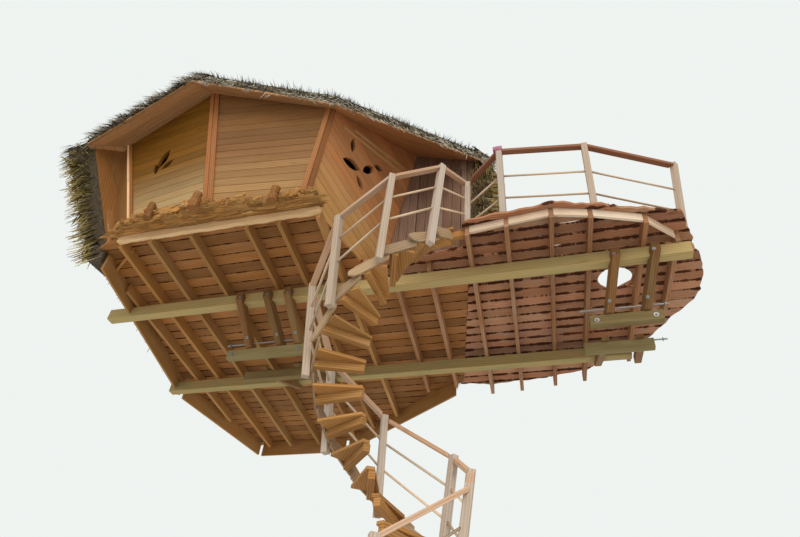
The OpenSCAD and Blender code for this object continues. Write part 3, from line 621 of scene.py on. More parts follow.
# %% Frame timbers, joists, posts and rails
timber_table = (
    (beam_wood, "beam_timber", 0.006, "front_beam back_beam"),
    (collar_wood, "beam_timber", 0.006, "right_front_yoke right_back_yoke left_front_yoke left_back_yoke"),
    (strut_wood, "orange_timber", 0.004, "yoke_struts"),
    (joist_wood, "deck_board", 0.003, "deck_joists"),
    (orange_wood, "orange_timber", 0.003, "cabin_joists cabin_skirt"),
    (rim_wood, "pale_timber", 0.003, "deck_rim"),
    (orange_wood, "orange_timber", 0.003, "stair_treads"),
    (orange_wood, "orange_timber", 0.004, "stair_bearers"),
    (plank_wood, "pale_timber", 0.002, "stair_planks"),
    (pale_wood, "pale_timber", 0.004, "stair_posts deck_posts"),
    (rail_wood, "pale_timber", 0.004, "stair_handrail"),
    (deck_rail_wood, "orange_timber", 0.004, "deck_handrail"),
    (rod_wood, "pale_timber", None, "stair_rods deck_rods"),
)
for material, slot, ease, named in timber_table:
    for node in named.split():
        dress_timbers(node, material, ease)

# %% [markdown]
# ## Rough edges
# The ledge board and the deck boards were sawn from whole logs, and their sides keep the log's own waves,
# with scraps of bark. So their long edges are cut every few centimetres, and each new corner is pushed
# by a smooth random field. The field reads the corner's place, so top and bottom move nearly together.

# %% Rough edge helpers
def cut_edges(mesh, shortest, every):
    """Divides the level edges that are longer than shortest, and gives back the new corners."""
    def spot_of(vert):
        return tuple(round(value, 5) for value in vert.co)

    def cuts_for(edge):
        length = edge.calc_length()
        level_edge = abs(edge.verts[0].co.z - edge.verts[1].co.z) < 0.3 * length
        return int(length / every) if length > shortest and level_edge else 0

    old_spots = {spot_of(vert) for vert in mesh.verts}
    for cuts in sorted({cuts_for(edge) for edge in mesh.edges} - {0}):
        edges = [edge for edge in mesh.edges if cuts_for(edge) == cuts]
        bmesh.ops.subdivide_edges(mesh, edges=edges, cuts=cuts)
    return [vert for vert in mesh.verts if spot_of(vert) not in old_spots]


def waney(place, size, drift):
    """A smooth random push in plan, between -1 and 1, that changes over about the given size."""
    spot = Vector((place.x, place.y, place.z * 3.0)) / size + Vector((drift, 0, 0))
    return Vector((lumps.noise(spot), lumps.noise(spot + Vector((17.0, 5.0, 0))), 0.0))


# %% Ledge and its bark edge board
for node, material, slot, amount, size in (
        ("front_ledge", ledge_wood, "pale_timber", 0.006, 0.10),
        ("ledge_board", bark_wood, "deck_board", 0.022, 0.045)):
    mesh = clean_copy(node)
    join_flat(mesh)
    grain_layers(mesh)
    for vert in cut_edges(mesh, shortest=0.06, every=0.03):
        push = waney(vert.co, size, 3.0)
        vert.co += Vector((push.x * amount, push.y * amount, push.x * amount * 0.35))
    ease_edges(mesh, 0.002, 0.9)
    mesh.normal_update()
    unwrap_along(mesh, mesh.faces, x_axis)
    finish_piece(mesh, node + "_timber", material, (node,))
    print(f"{node}: edge pushed up to {amount * 1000:.0f} mm")


# %% Bark along the ledge board
def ledge_bark(edge_scraps, ridges):
    """Torn scraps that stand along the front edge, and long flat ridges under the board. Each is a ball
    pushed out of shape, flattened to its size and laid down."""
    edge_tree = BVHTree.FromBMesh(clean_copy("ledge_board"))
    (left_end, _, under), (right_end, _, top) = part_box("ledge_board")
    back_of_ledge = -1.46
    between = random.uniform
    bark = grained_mesh()
    for number in range(edge_scraps + ridges):
        x = between(left_end + 0.04, right_end - 0.04)
        front = edge_tree.ray_cast(Vector((x, -3.0, top - 0.015)), y_axis)[0]
        if number < edge_scraps:
            size = Vector((between(0.020, 0.085), between(0.010, 0.026), between(0.012, 0.045)))
            spot = (x, front.y + between(0.0, 0.04), top + between(-0.020, 0.030))
            turn_by = between(-0.9, 0.9)
        else:
            size = Vector((between(0.05, 0.18), between(0.012, 0.030), between(0.005, 0.011)))
            spot = (x, between(front.y + 0.02, back_of_ledge), under)
            turn_by = 0.0
        scrap = grained_mesh()
        bmesh.ops.create_icosphere(scrap, subdivisions=2, radius=1.0)
        for vert in scrap.verts:
            vert.co *= 1.0 + 0.7 * lumps.noise(vert.co * 1.9 + Vector((number * 5.0, 0, 0)))
        bmesh.ops.scale(scrap, vec=size, verts=scrap.verts)
        bmesh.ops.rotate(scrap, verts=scrap.verts, matrix=Matrix.Rotation(turn_by, 3, "Y"))
        bmesh.ops.translate(scrap, verts=scrap.verts, vec=spot)
        add_grained(bark, scrap, x_axis)
    finish_piece(bark, "ledge_bark", bark_wood)
    print("bark scraps:", edge_scraps, "and ridges:", ridges)


ledge_bark(150, 130)

# %% [markdown]
# ## Boards cut from slabs
# In the solid model a floor or a wall is one slab, because that is what carries load. The real ones are
# boards. Cutting the slab itself with pairs of planes gives boards that follow its outline, its leaning
# faces and its openings exactly, with a dark joint between each two.

# %% Board helpers
def slice_between(source, across, planes):
    """A copy of a bmesh, cut by each plane and closed there. A plane is its level along across, and
    whether the part above it stays."""
    board = source.copy()
    for level, keep_above in planes:
        geom = board.verts[:] + board.edges[:] + board.faces[:]
        bmesh.ops.bisect_plane(board, geom=geom, dist=1e-6, plane_co=across * level, plane_no=across,
                               clear_inner=keep_above, clear_outer=not keep_above)
        open_edges = [e for e in board.edges if len(e.link_faces) == 1]
        bmesh.ops.holes_fill(board, edges=open_edges, sides=0)
    return board


def cut_boards(source, along, across, pitch, joint, name, wane=0.0, ease=0.0015):
    """Cuts a bmesh into boards that run along one direction, with a joint between them."""
    along = along.normalized()
    across = across.normalized()
    spread = [v.co.dot(across) for v in source.verts]
    low, high = min(spread), max(spread)
    narrowest = 0.004
    out = grained_mesh()
    count = 0
    at = low
    while at < high:
        first, last = at + joint / 2, at + pitch - joint / 2
        at += pitch
        if first > high - narrowest:
            continue
        planes = [(level, keep_above) for level, keep_above in ((first, True), (last, False))
                  if low < level < high]
        board = slice_between(source, across, planes)
        if not board.faces:
            board.free()
            continue
        join_flat(board)
        if wane:
            rough_sides(board, across, (first + last) / 2, (last - first) / 2, wane, count)
        grain_layers(board)
        ease_edges(board, ease, 0.7 if wane else 0.5)
        bmesh.ops.recalc_face_normals(board, faces=board.faces)
        add_grained(out, board, along)
        count += 1
    source.free()
    print(f"{name}: {count} boards")
    return out


# %% Sides of rough boards and whole board pieces
def rough_sides(board, across, middle, half, amount, seed):
    """Pushes the sides of a board inward and its free edges to and fro, as the log's own edge runs."""
    for vert in cut_edges(board, shortest=0.10, every=0.045):
        push = waney(vert.co, 0.16, seed * 3.7)
        fine = waney(vert.co, 0.05, seed * 1.3)
        from_middle = vert.co.dot(across) - middle
        if abs(abs(from_middle) - half) < 0.003:
            inward_by = amount * (0.5 + 0.9 * push.x + 0.5 * fine.x)
            vert.co -= across * (math.copysign(1, from_middle) * max(0.0, inward_by))
        else:
            vert.co += Vector((fine.x, fine.y, fine.x * 0.3)) * amount * 1.8


def board_piece(node, name, material, slot, along, across, pitch, joint, body=house, smooth=False, **cut):
    """One piece: the boards of a node. Its boards are counted square to their own direction."""
    run = Vector(along).normalized()
    step = (Vector(across) - run * run.dot(Vector(across))).normalized()
    boards = cut_boards(clean_copy(node), run, step, pitch, joint, name, **cut)
    finish_piece(boards, name, material, (node,), body, smooth)


# %% [markdown]
# ## Floors
# Deck and cabin floor lie across the joists, so their boards run along the main beams. From below one
# sees light between the deck boards: they were laid wet, with gaps, and have shrunk since.

# %% Floors
board_piece("deck_floor", "deck_boards", deck_wood, "deck_board", x_axis, y_axis, floor_pitch,
            joint=0.010, wane=0.012)
board_piece("cabin_floor", "cabin_floor_boards", cabin_floor_wood, "orange_timber", x_axis, y_axis,
            floor_pitch, joint=0.007, wane=0.004)

# %% [markdown]
# ## Walls and roof lining
# The cladding lies along the walls of the cabin and follows the fall of the eaves on the side towards the
# deck. The wall with the door and the narrow cheek under the left eave have upright boards. Each board has
# a small chamfer, so that two of them make a V joint that catches a shadow.

# %% Walls
wall_pitch = 0.105
wall_joint = 0.004
chamfer = 0.003
wall_table = {
    "front_left_wall": ((1.0, -0.12, 0.0), z_axis, yellow_wall_wood),
    "front_middle_wall": ((1.0, 0.05, 0.0), z_axis, wall_wood),
    "front_right_wall": ((0.30, 0.93, -0.25), (0.1, 0.3, 1.0), tall_wall_wood),
    "right_wall": ((-0.24, 0.97, 0.0), z_axis, wall_wood),
    "rear_right_wall": ((-0.81, 0.58, 0.0), z_axis, wall_wood),
    "back_wall": ((-1.0, 0.0, 0.0), z_axis, wall_wood),
    "rear_left_wall": ((-0.19, -0.98, 0.0), z_axis, wall_wood),
    "left_wall": ((0.2, -0.98, 0.0), z_axis, wall_wood),
    "door_wall": (z_axis, x_axis, door_wood),
    "left_cheek": ((-0.25, -0.2, 1.0), (1.0, -0.4, 0.2), cheek_wood),
}
for node, (along, across, material) in wall_table.items():
    slot = "door_board" if node == "door_wall" else "wall_board"
    board_piece(node, node + "_boards", material, slot, along, across, wall_pitch, wall_joint,
                smooth=True, ease=chamfer)


# %% Roof lining
def lining_boards():
    """Each face of the roof lining is cut by itself, along its own eave."""
    whole = clean_copy("roof_lining")
    joined = grained_mesh()
    ridge_z = 3.0
    for faces in islands(whole):
        part = bmesh.new()
        copies = {}
        for face in faces:
            for vert in face.verts:
                if vert not in copies:
                    copies[vert] = part.verts.new(vert.co)
            part.faces.new([copies[vert] for vert in face.verts])
        part.normal_update()
        low_edges = [e for e in part.edges if max(v.co.z for v in e.verts) < ridge_z]
        eave = max(low_edges, key=lambda e: e.calc_length())
        run = (eave.verts[1].co - eave.verts[0].co).normalized()
        face_normal = max(part.faces, key=lambda f: f.calc_area()).normal
        step = run.cross(face_normal).normalized()
        add_to(joined, cut_boards(part, run, step, 0.125, wall_joint, "lining face", ease=chamfer))
    whole.free()
    finish_piece(joined, "roof_lining_boards", soffit_wood, ("roof_lining",))


lining_boards()

# %% [markdown]
# ## Door leaf
# A ledged door: upright boards like those of the wall beside it. It swings on its hinges, so it rides on
# the door's own body.

# %% Door leaf
board_piece("cabin_door", "door_leaf_boards", door_wood, "door_board", z_axis, x_axis, 0.110, wall_joint,
            body="door", ease=chamfer)

# %% [markdown]
# ## Trim on the walls
# Where two walls meet, a pair of narrow boards covers the corner and runs up until it meets the roof
# lining. A ray from the foot of the corner, cast along its lean, finds the lining, so a trim board stops
# where the roof is. The tall wall beside the door has two thin battens under its reddish top panel.

# %% Trim helpers
lining_tree = BVHTree.FromBMesh(clean_copy("roof_lining"))
sunk_into_lining = 0.02


def up_to_lining(foot, lean):
    """The place where a line from the foot meets the roof lining, sunk a little into it."""
    spot = lining_tree.ray_cast(foot, lean.normalized())[0]
    return spot + lean.normalized() * sunk_into_lining


def square_to(lean, beside):
    """The direction of beside, turned square to the lean."""
    return (beside - lean * (beside.dot(lean) / lean.length_squared)).normalized()


def stick_piece(name, material, sticks):
    """One piece from sawn sticks: each has a foot, a head, a normal, a width and a thickness along it."""
    joined = grained_mesh()
    for foot, head, normal, width, thick in sticks:
        along = (head - foot).normalized()
        side = along.cross(normal).normalized()
        stick = grained_mesh()
        bmesh.ops.create_cube(stick, size=1.0)
        bmesh.ops.scale(stick, vec=(width, thick, (head - foot).length), verts=stick.verts)
        ease_edges(stick, 0.003)
        turned = Matrix((side, along.cross(side), along)).transposed().to_4x4()
        turned = Matrix.Translation((foot + head) / 2) @ turned
        bmesh.ops.transform(stick, matrix=turned, verts=stick.verts)
        add_grained(joined, stick, along)
    finish_piece(joined, name, material)


# %% Corner trim
# The foot and the shoulder of each corner: cheek, left, right, door.
wall_corners = [
    (Vector((-5.10, -1.45, 0.76)), Vector((-5.557, -1.61, 2.06))),
    (Vector((-4.04, -1.60, 0.76)), Vector((-4.277, -1.792, 2.06))),
    (Vector((-3.00, -1.50, 0.76)), Vector((-2.86, -1.655, 2.06))),
    (Vector((-2.58, -0.20, 0.76)), Vector((-2.39, -0.20, 2.06))),
]
trim_width, trim_thick = 0.055, 0.022
sticks = []
for before, here, after in zip(wall_corners, wall_corners[1:], wall_corners[2:]):
    lean = here[1] - here[0]
    for neighbour, sign in ((before, -1), (after, 1)):
        beside = (neighbour[0] + neighbour[1]) / 2 - (here[0] + here[1]) / 2
        normal = (beside * sign).cross(lean).normalized()
        shift = square_to(lean, beside) * (trim_width / 2 + 0.002)
        foot = here[0] + shift + normal * (trim_thick / 2 - 0.003)
        sticks.append((foot, up_to_lining(foot, lean), normal, trim_width, trim_thick))
stick_piece("corner_trim", trim_wood, sticks)
print("corner trims:", len(sticks))

# %% Jamb and cover strip of the cheek
cheek_foot, cheek_shoulder = wall_corners[0]
lean = cheek_shoulder - cheek_foot
beside = wall_corners[1][0] - cheek_foot
normal = beside.cross(lean).normalized()
for name, material, slot, shift, lift, width, thick in (
        ("cheek_jamb", ledge_wood, "pale_timber", 0.014, 0.012, 0.026, 0.030),
        ("cheek_cover_strip", trim_wood, "orange_timber", 0.048, 0.007, 0.036, 0.020)):
    foot = cheek_foot + square_to(lean, beside) * shift + normal * lift
    stick_piece(name, material, [(foot, up_to_lining(foot, lean), normal, width, thick)])
print("trim up to", round(up_to_lining(cheek_foot, lean).z, 2), "m")

# %% Battens of the tall wall
tall_wall_normal = Vector((0.94, -0.30, -0.14)).normalized()
batten_lift = tall_wall_normal * 0.005
batten_ends = (((-2.785, -1.434, 2.083), (-2.395, -0.36, 2.44)),
               ((-2.711, -1.266, 2.217), (-2.363, -0.334, 2.541)))
stick_piece("tall_wall_battens", batten_wood, [
    (Vector(low_end) + batten_lift, Vector(high_end) + batten_lift, tall_wall_normal, 0.030, 0.018)
    for low_end, high_end in batten_ends])
print("battens:", len(batten_ends))

# %% [markdown]
# ## Stubs on the ledge
# Three thick ends of knotty poles stand through the bark edge board, and a thin square strut braces the
# floor at its left corner. A stub is a short cylinder whose rings are pushed about, then smoothed.

# %% Stubs and strut
stub_places = ((-4.66, -1.70, 0.050), (-4.11, -1.73, 0.056), (-3.25, -1.66, 0.048))
foot_z, head_z = 0.64, 0.86
stubs = grained_mesh()
for number, (x, y, radius) in enumerate(stub_places):
    stub = grained_mesh()
    bmesh.ops.create_cone(stub, cap_ends=True, segments=12, radius1=radius, radius2=radius * 0.85,
                          depth=head_z - foot_z)
    bmesh.ops.translate(stub, verts=stub.verts, vec=(x, y, (foot_z + head_z) / 2))
    upright_edges = [e for e in stub.edges if abs(e.verts[0].co.z - e.verts[1].co.z) > 0.1]
    bmesh.ops.subdivide_edges(stub, edges=upright_edges, cuts=5)
    for vert in stub.verts:
        push = waney(vert.co, 0.05, number * 9.0)
        vert.co += Vector((push.x, push.y, push.x * 0.6)) * radius * 0.45
    bmesh.ops.smooth_vert(stub, verts=stub.verts, factor=0.3, use_axis_x=True, use_axis_y=True,
                          use_axis_z=True)
    add_grained(stubs, stub, z_axis)
finish_piece(stubs, "ledge_stubs", stub_wood)

stick_piece("corner_strut", orange_wood, [
    (Vector((-5.152, -1.239, 0.70)), Vector((-5.698, -0.871, 0.70)), z_axis, 0.025, 0.060)])
print("stubs:", len(stub_places))

# %% [markdown]
# ## Steel
# Hinges and tie rods are zinc plated and outdoors: dull, slightly mottled, with a few brown specks. Nuts
# and washers close the tie rods, and bolts hold the collars and the knees. A nut is a six-sided cone with
# eased edges, and a ray cast onto the timber tells where its washer lies.

# %% Steel
def coat(material, *shown):
    """Gives a material to solids of the model that are seen as they are."""
    for node in shown:
        nodes[node].data.materials.clear()
        nodes[node].data.materials.append(material)


steel, r, shader = new_material("dull zinc")
cloud = r.noise(r.spot(), 40.0, 4.0)
specks = r.ramp(r.noise(r.spot(), 180.0, 2.0), (0.62, 0.0), (0.70, 1.0))
zinc = r.mix(specks, r.mix(cloud, (0.24, 0.24, 0.23), (0.40, 0.40, 0.39)), (0.22, 0.12, 0.06))
r.feed(shader, {"Base Color": zinc, "Roughness": r.ramp(cloud, (0.3, 0.35), (0.7, 0.6)), "Metallic": 0.85})
coat(steel, "tie_rods", "door_hinges", "hinge_straps")


# %% Bolt helpers
def add_bolt(target, spot, normal, size=0.008):
    """Washer, nut and the bolt's end, standing on a surface along its normal."""
    turned = Matrix.Translation(spot) @ normal.to_track_quat("Z", "Y").to_matrix().to_4x4()
    for segments, radius, low, high, ease in (
            (20, size * 2.3, -0.001, 0.003, 0.0008),
            (6, size * 1.15, 0.003, 0.003 + size, 0.0012),
            (12, size * 0.5, 0.0, 0.003 + size * 1.7, 0.001)):
        disc = bmesh.new()
        bmesh.ops.create_cone(disc, cap_ends=True, segments=segments, radius1=radius, radius2=radius,
                              depth=high - low)
        bmesh.ops.translate(disc, verts=disc.verts, vec=(0, 0, (low + high) / 2))
        rims = [e for e in disc.edges if abs(e.verts[0].co.z - e.verts[1].co.z) < 1e-6]
        bevel(disc, rims, ease, 1)
        bmesh.ops.transform(disc, matrix=turned, verts=disc.verts)
        add_to(target, disc)


def corners_of(faces):
    return [v.co for f in faces for v in f.verts]


def mean(places):
    return sum(places, Vector()) / len(places)


# %% Bolts of the knees
bolts = []
struts = clean_copy("yoke_struts")
strut_tree = BVHTree.FromBMesh(struts)
for faces in islands(struts):
    corners = corners_of(faces)
    low_z, high_z = min(c.z for c in corners), max(c.z for c in corners)
    foot = mean([c for c in corners if c.z < low_z + 0.02])
    head = mean([c for c in corners if c.z > high_z - 0.02])
    outside = y_axis * (-1 if foot.y < 0.2 else 1)
    for share in (0.16, 0.86):
        middle = foot.lerp(head, share)
        spot, normal, _, _ = strut_tree.ray_cast(middle + outside * 0.5, -outside)
        if spot is not None and (spot - middle).length < 0.15:
            bolts.append((spot, normal))
struts.free()
print("bolts of the knees:", len(bolts))

# %% Bolts of the collars and nuts of the tie rods
for node, face_y, toward in (("right_front_yoke", -0.08, -1), ("right_back_yoke", 0.46, 1),
                             ("left_front_yoke", -0.08, -1), ("left_back_yoke", 0.46, 1)):
    low_corner, high_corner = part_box(node)
    for x in (low_corner[0] + 0.07, high_corner[0] - 0.07):
        bolts.append((Vector((x, face_y, -0.005)), y_axis * toward, 0.011))
rods = clean_copy("tie_rods")
for faces in islands(rods):
    corners = corners_of(faces)
    middle = mean(corners)
    low_x, high_x = min(c.x for c in corners), max(c.x for c in corners)
    for x, toward in ((low_x + 0.045, -1), (high_x - 0.045, 1)):
        bolts.append((Vector((x, middle.y, middle.z)), x_axis * toward, 0.010))
rods.free()

bolt_mesh = bmesh.new()
for bolt in bolts:
    add_bolt(bolt_mesh, *bolt)
finish_piece(bolt_mesh, "collar_bolts", steel)
print("all bolts:", len(bolts))

# %% [markdown]
# ## Cap on a deck post
# The first post of the deck's railing wears a red plastic cap, a little wider than the post. It is a cube
# with rounded edges, turned by the face on top of the post, because the post leans.

# %% Post cap
first_post = Vector((-1.06, -0.99))
cap_size = (0.100, 0.100, 0.064)
cap_plastic, r, shader = new_material("red cap plastic")
faded = r.noise(r.spot(), 30.0)
r.feed(shader, {"Base Color": r.mix(faded, (0.30, 0.04, 0.09), (0.48, 0.20, 0.28)),
                "Roughness": r.ramp(faded, (0.3, 0.35), (0.7, 0.55))})
posts = clean_copy("deck_posts")
heads = [max(faces, key=lambda face: face.calc_center_median().z) for faces in islands(posts)]
capped = min(heads, key=lambda face: (face.calc_center_median().xy - first_post).length)
middle = capped.calc_center_median()
side = (capped.verts[1].co - capped.verts[0].co).normalized()
cap = bmesh.new()
bmesh.ops.create_cube(cap, size=1.0)
bmesh.ops.scale(cap, vec=cap_size, verts=cap.verts)
bevel(cap, cap.edges[:], 0.010, 3)
turned = Matrix((side, capped.normal.cross(side), capped.normal)).transposed().to_4x4()
bmesh.ops.transform(cap, matrix=Matrix.Translation(middle) @ turned, verts=cap.verts)
print("post cap at", [round(value, 2) for value in middle])
posts.free()
finish_piece(cap, "post_cap", cap_plastic)

# %% [markdown]
# ## Thatch
# Reed thatch is bundles of stems, laid in courses with only their ends showing. The solid roof stays as
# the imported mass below. Over it go thousands of thin stems in tufts. One tuft is modelled from a few
# slim cones, and copies of it are laid over every face, pointing down the slope, each a little turned.
# A copy is the same corners put elsewhere, so numpy places them all at once.

# %% Reed stem group
stem_effect, given = shared_effect("Reed Stem", {
    "Color": "Color", "Place": "Vector", "Shaded Root": "Float"}, {"Color": "Color"})
fleck = stem_effect.noise(stem_effect.stretch(given["Place"], (9.0, 3.0, 1.0)), 3.0)
flecked = stem_effect.tinted(given["Color"], stem_effect.ramp(fleck, (0.25, 0.7), (0.75, 1.15)))
# Painted shade: each stem gets darker towards its root, where the stems shade each other deep in the
# thatch.
up_the_stem = stem_effect.math("DIVIDE", stem_effect.axis(given["Place"], "X"), given["Shaded Root"])
root_shade = stem_effect.ramp(up_the_stem, (0.15, 0.25), (1.0, 1.0))
stem_effect.put_out({"Color": stem_effect.tinted(flecked, root_shade)})
print("reed stem group:", len(stem_effect.tree.nodes), "nodes")


# %% Reed materials
def reed_material(name, shaded_root, *stops):
    """Loose stems: a tone for each stem, flecks along it, and a root darkened up to the given length,
    which is painted shade of the thatch round it.
    """
    material, r, shader = new_material(name)
    stem = {"Color": r.ramp(r.tone(), *stops), "Place": r.grain_uv(), "Shaded Root": shaded_root}
    r.feed(shader, {"Base Color": r.use(stem_effect, stem)["Color"], "Roughness": 0.75,
                    "Specular IOR Level": 0.2})
    return material


wall_reed = reed_material(
    "golden wall reed", 0.17, (0.0, (0.06, 0.04, 0.015)), (0.25, (0.26, 0.18, 0.055)),
    (0.5, (0.58, 0.44, 0.14)), (0.75, (0.76, 0.62, 0.27)), (1.0, (0.85, 0.78, 0.55)))
roof_reed = reed_material(
    "weathered roof reed", 0.16, (0.0, (0.035, 0.027, 0.019)), (0.25, (0.12, 0.095, 0.065)),
    (0.5, (0.27, 0.225, 0.15)), (0.75, (0.50, 0.44, 0.32)), (1.0, (0.74, 0.69, 0.57)))
eave_reed = reed_material(
    "pale eave reed", 0.05, (0.0, (0.05, 0.038, 0.025)), (0.3, (0.16, 0.125, 0.08)),
    (0.6, (0.48, 0.41, 0.28)), (1.0, (0.85, 0.80, 0.66)))
print("reeds:", ", ".join(reed.name for reed in (wall_reed, roof_reed, eave_reed)))

# %% Packed reed
# Painted shade: the imported reed under the stems is coloured near black, for the shade deep among the
# stems.
packed_reed, r, shader = new_material("packed reed")
stems = r.long_noise(r.spot(), (60.0, 60.0, 5.0), 4.0, 0.65)
painted_shade_stems = r.ramp(stems, (0.3, (0.018, 0.012, 0.006)), (0.5, (0.055, 0.036, 0.016)),
                    (0.7, (0.13, 0.09, 0.04)))
r.feed(shader, {"Base Color": painted_shade_stems, "Roughness": 0.9, "Normal": r.bump(stems, 0.8, 0.01)})
coat(packed_reed, "thatch_roof", "wall_thatch")


# %% Tufts of stems
def reed_tufts(first_seed, count, length, spread, radius, blunt=0.0, kinds=6):
    """Tufts of slim three-sided stems along +Z from the origin, as arrays of corners and triangles."""
    tufts = []
    for seed in range(first_seed, first_seed + kinds):
        rng = random.Random(seed)
        tuft = bmesh.new()
        for stem in range(count):
            tall = length * rng.uniform(0.6, 1.0)
            thick = radius * rng.uniform(0.7, 1.1)
            verts = bmesh.ops.create_cone(tuft, cap_ends=True, segments=3, radius1=thick,
                                          radius2=radius * blunt, depth=tall)["verts"]
            lean_x = Matrix.Rotation(rng.uniform(-0.10, 0.10), 4, "X")
            lean_y = Matrix.Rotation(rng.uniform(-0.12, 0.12), 4, "Y")
            shift = (rng.uniform(-spread, spread), rng.uniform(-0.012, 0.012), rng.uniform(-0.04, 0.04))
            bmesh.ops.translate(tuft, verts=verts, vec=(0, 0, tall / 2))
            bmesh.ops.transform(tuft, verts=verts, matrix=lean_x @ lean_y)
            bmesh.ops.translate(tuft, verts=verts, vec=shift)
        bmesh.ops.triangulate(tuft, faces=tuft.faces)
        tuft.verts.index_update()
        corners = np.array([v.co[:] for v in tuft.verts])
        triangles = np.array([[v.index for v in f.verts] for f in tuft.faces])
        tuft.free()
        tufts.append((corners, triangles, count))
    return tufts


# %% Laying the tufts
def unit(vectors):
    return vectors / np.linalg.norm(vectors, axis=1, keepdims=True)


def lay_tufts(name, material, tufts, laid, tones):
    """Copies the tufts to every place, Z turned along its run and Y along the surface normal. tones are
    the middle one, and how far tufts and single stems spread from it."""
    places, normals, runs = laid
    tone_middle, tuft_spread, stem_spread = tones
    rng = np.random.default_rng(11)
    all_corners, all_triangles, all_tones, all_uv = [], [], [], []
    offset = 0
    picks = rng.integers(0, len(tufts), len(places))
    for kind, (corners, triangles, stems_in) in enumerate(tufts):
        mine = np.nonzero(picks == kind)[0]
        z = unit(runs[mine])
        y = unit(normals[mine] - z * (normals[mine] * z).sum(1, keepdims=True))
        frames = np.stack([np.cross(y, z), y, z], 1)
        local = corners[None] * rng.uniform(0.8, 1.15, (len(mine), 1, 1))
        all_corners.append((places[mine][:, None] + local @ frames).reshape(-1, 3))
        index = triangles[None] + (np.arange(len(mine)) * len(corners))[:, None, None] + offset
        all_triangles.append(index.reshape(-1, 3))
        offset += len(mine) * len(corners)
        tuft_tone = rng.normal(tone_middle, tuft_spread, (len(mine), 1))
        stem_tone = np.clip(tuft_tone + rng.normal(0, stem_spread, (len(mine), stems_in)), 0, 1)
        stem_of = triangles[:, 0] // (len(corners) // stems_in)
        all_tones.append(stem_tone[:, stem_of].reshape(-1))
        own_v = np.broadcast_to(rng.uniform(0, 30, (len(mine), 1)), local.shape[:2])
        all_uv.append(np.stack([local[:, :, 2], own_v], -1).reshape(-1, 2))
    triangles = np.concatenate(all_triangles)
    data = bpy.data.meshes.new(name)
    data.from_pydata(np.concatenate(all_corners), [], triangles)
    uv = np.concatenate(all_uv)[triangles.reshape(-1)]
    data.uv_layers.new(name="grain").data.foreach_set("uv", uv.reshape(-1).astype(np.float32))
    tone = data.attributes.new("tone", "FLOAT", "FACE")
    tone.data.foreach_set("value", np.concatenate(all_tones).astype(np.float32))
    piece = show(name, data, material)
    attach(piece, house)
    print(f"{name}: {len(places)} tufts, {len(triangles)} triangles")


# %% Four kinds of tuft
roof_stem, edge_stem, eave_stem, wall_stem = 0.36, 0.20, 0.15, 0.28
roof_tufts = reed_tufts(0, 8, roof_stem, spread=0.055, radius=0.0070)
edge_tufts = reed_tufts(60, 7, edge_stem, spread=0.050, radius=0.0065)
eave_tufts = reed_tufts(20, 5, eave_stem, spread=0.045, radius=0.0050)
wall_tufts = reed_tufts(40, 3, wall_stem, spread=0.055, radius=0.0080, blunt=0.35)
density = 1.0
print("tufts:", len(roof_tufts + edge_tufts + eave_tufts + wall_tufts))

# %% [markdown]
# ## Roof thatch
# The upper faces of the roof solids say where the tufts go. Stems that would reach past the eave are
# pulled back to it, like an edge that was trimmed. The eave then gets its own row: short stems that stand
# out from the cut edge and hang a little.

# %% Faces that carry stems
def outer_triangles(node, pick):
    """Triangles of a node whose normal and middle pass the test, as pairs of corners and normal."""
    mesh = nodes[node].data
    mesh.calc_loop_triangles()
    found = []
    for tri in mesh.loop_triangles:
        corners = [mesh.vertices[i].co.copy() for i in tri.vertices]
        if pick(tri.normal, mean(corners)):
            found.append((corners, tri.normal.copy()))
    return found


def parted(triangles, test):
    """Splits triangles by a test of their middle."""
    return [t for t in triangles if test(mean(t[0]))], [t for t in triangles if not test(mean(t[0]))]


# %% Places for stems
scatter_rng = np.random.default_rng(3)


def scatter_on(triangles, per_square_metre, lift, sink, turn_spread=0.07, lift_spread=0.05):
    """Random places on triangles, with their normals and runs. A run goes down the face, lifted off it by
    a share that is a number or a function of the height."""
    down = np.array([0.0, 0.0, -1.0])
    places, normals, runs = [], [], []
    for corners, normal in triangles:
        a, b, c = (np.array(v) for v in corners)
        area = np.linalg.norm(np.cross(b - a, c - a)) / 2
        count = int(area * per_square_metre * density + scatter_rng.random())
        if not count:
            continue
        u = scatter_rng.random((count, 2))
        flip = u.sum(1) > 1
        u[flip] = 1 - u[flip]
        spots = a + u[:, :1] * (b - a) + u[:, 1:] * (c - a)
        n = np.array(normal)
        run = down - n * (down @ n)
        run /= np.linalg.norm(run)
        share = lift(spots[:, 2:]) if callable(lift) else lift
        sideways = np.cross(n, run) * scatter_rng.normal(0, turn_spread, (count, 1))
        outward = n * (share + scatter_rng.normal(0, lift_spread, (count, 1)))
        places.append(spots - n * sink)
        normals.append(np.repeat(n[None], count, 0))
        runs.append(run * (1.0 - share) + sideways + outward)
    return np.concatenate(places), np.concatenate(normals), np.concatenate(runs)


def tips_of(places, runs, length):
    """Where stems of the given length end."""
    return places + unit(runs) * length


# %% Outline of the eave
plan = sorted({(round(v.co.x, 2), round(v.co.y, 2)) for v in nodes["thatch_roof"].data.vertices})
plan = [Vector(spot) for spot in plan]
eave_plan = np.array([plan[i] for i in geometry.convex_hull_2d(plan)])
print("eave corners in plan:", len(eave_plan))


def past_eave(spots):
    """How far each spot lies outside the roof's outline in plan; negative inside."""
    centre = eave_plan.mean(0)
    furthest = np.full(len(spots), -1e9)
    for a, b in zip(eave_plan, np.roll(eave_plan, -1, 0)):
        out = np.array([b[1] - a[1], a[0] - b[0]]) / np.linalg.norm(b - a)
        if out @ (a - centre) < 0:
            out = -out
        furthest = np.maximum(furthest, (spots[:, :2] - a) @ out)
    return furthest


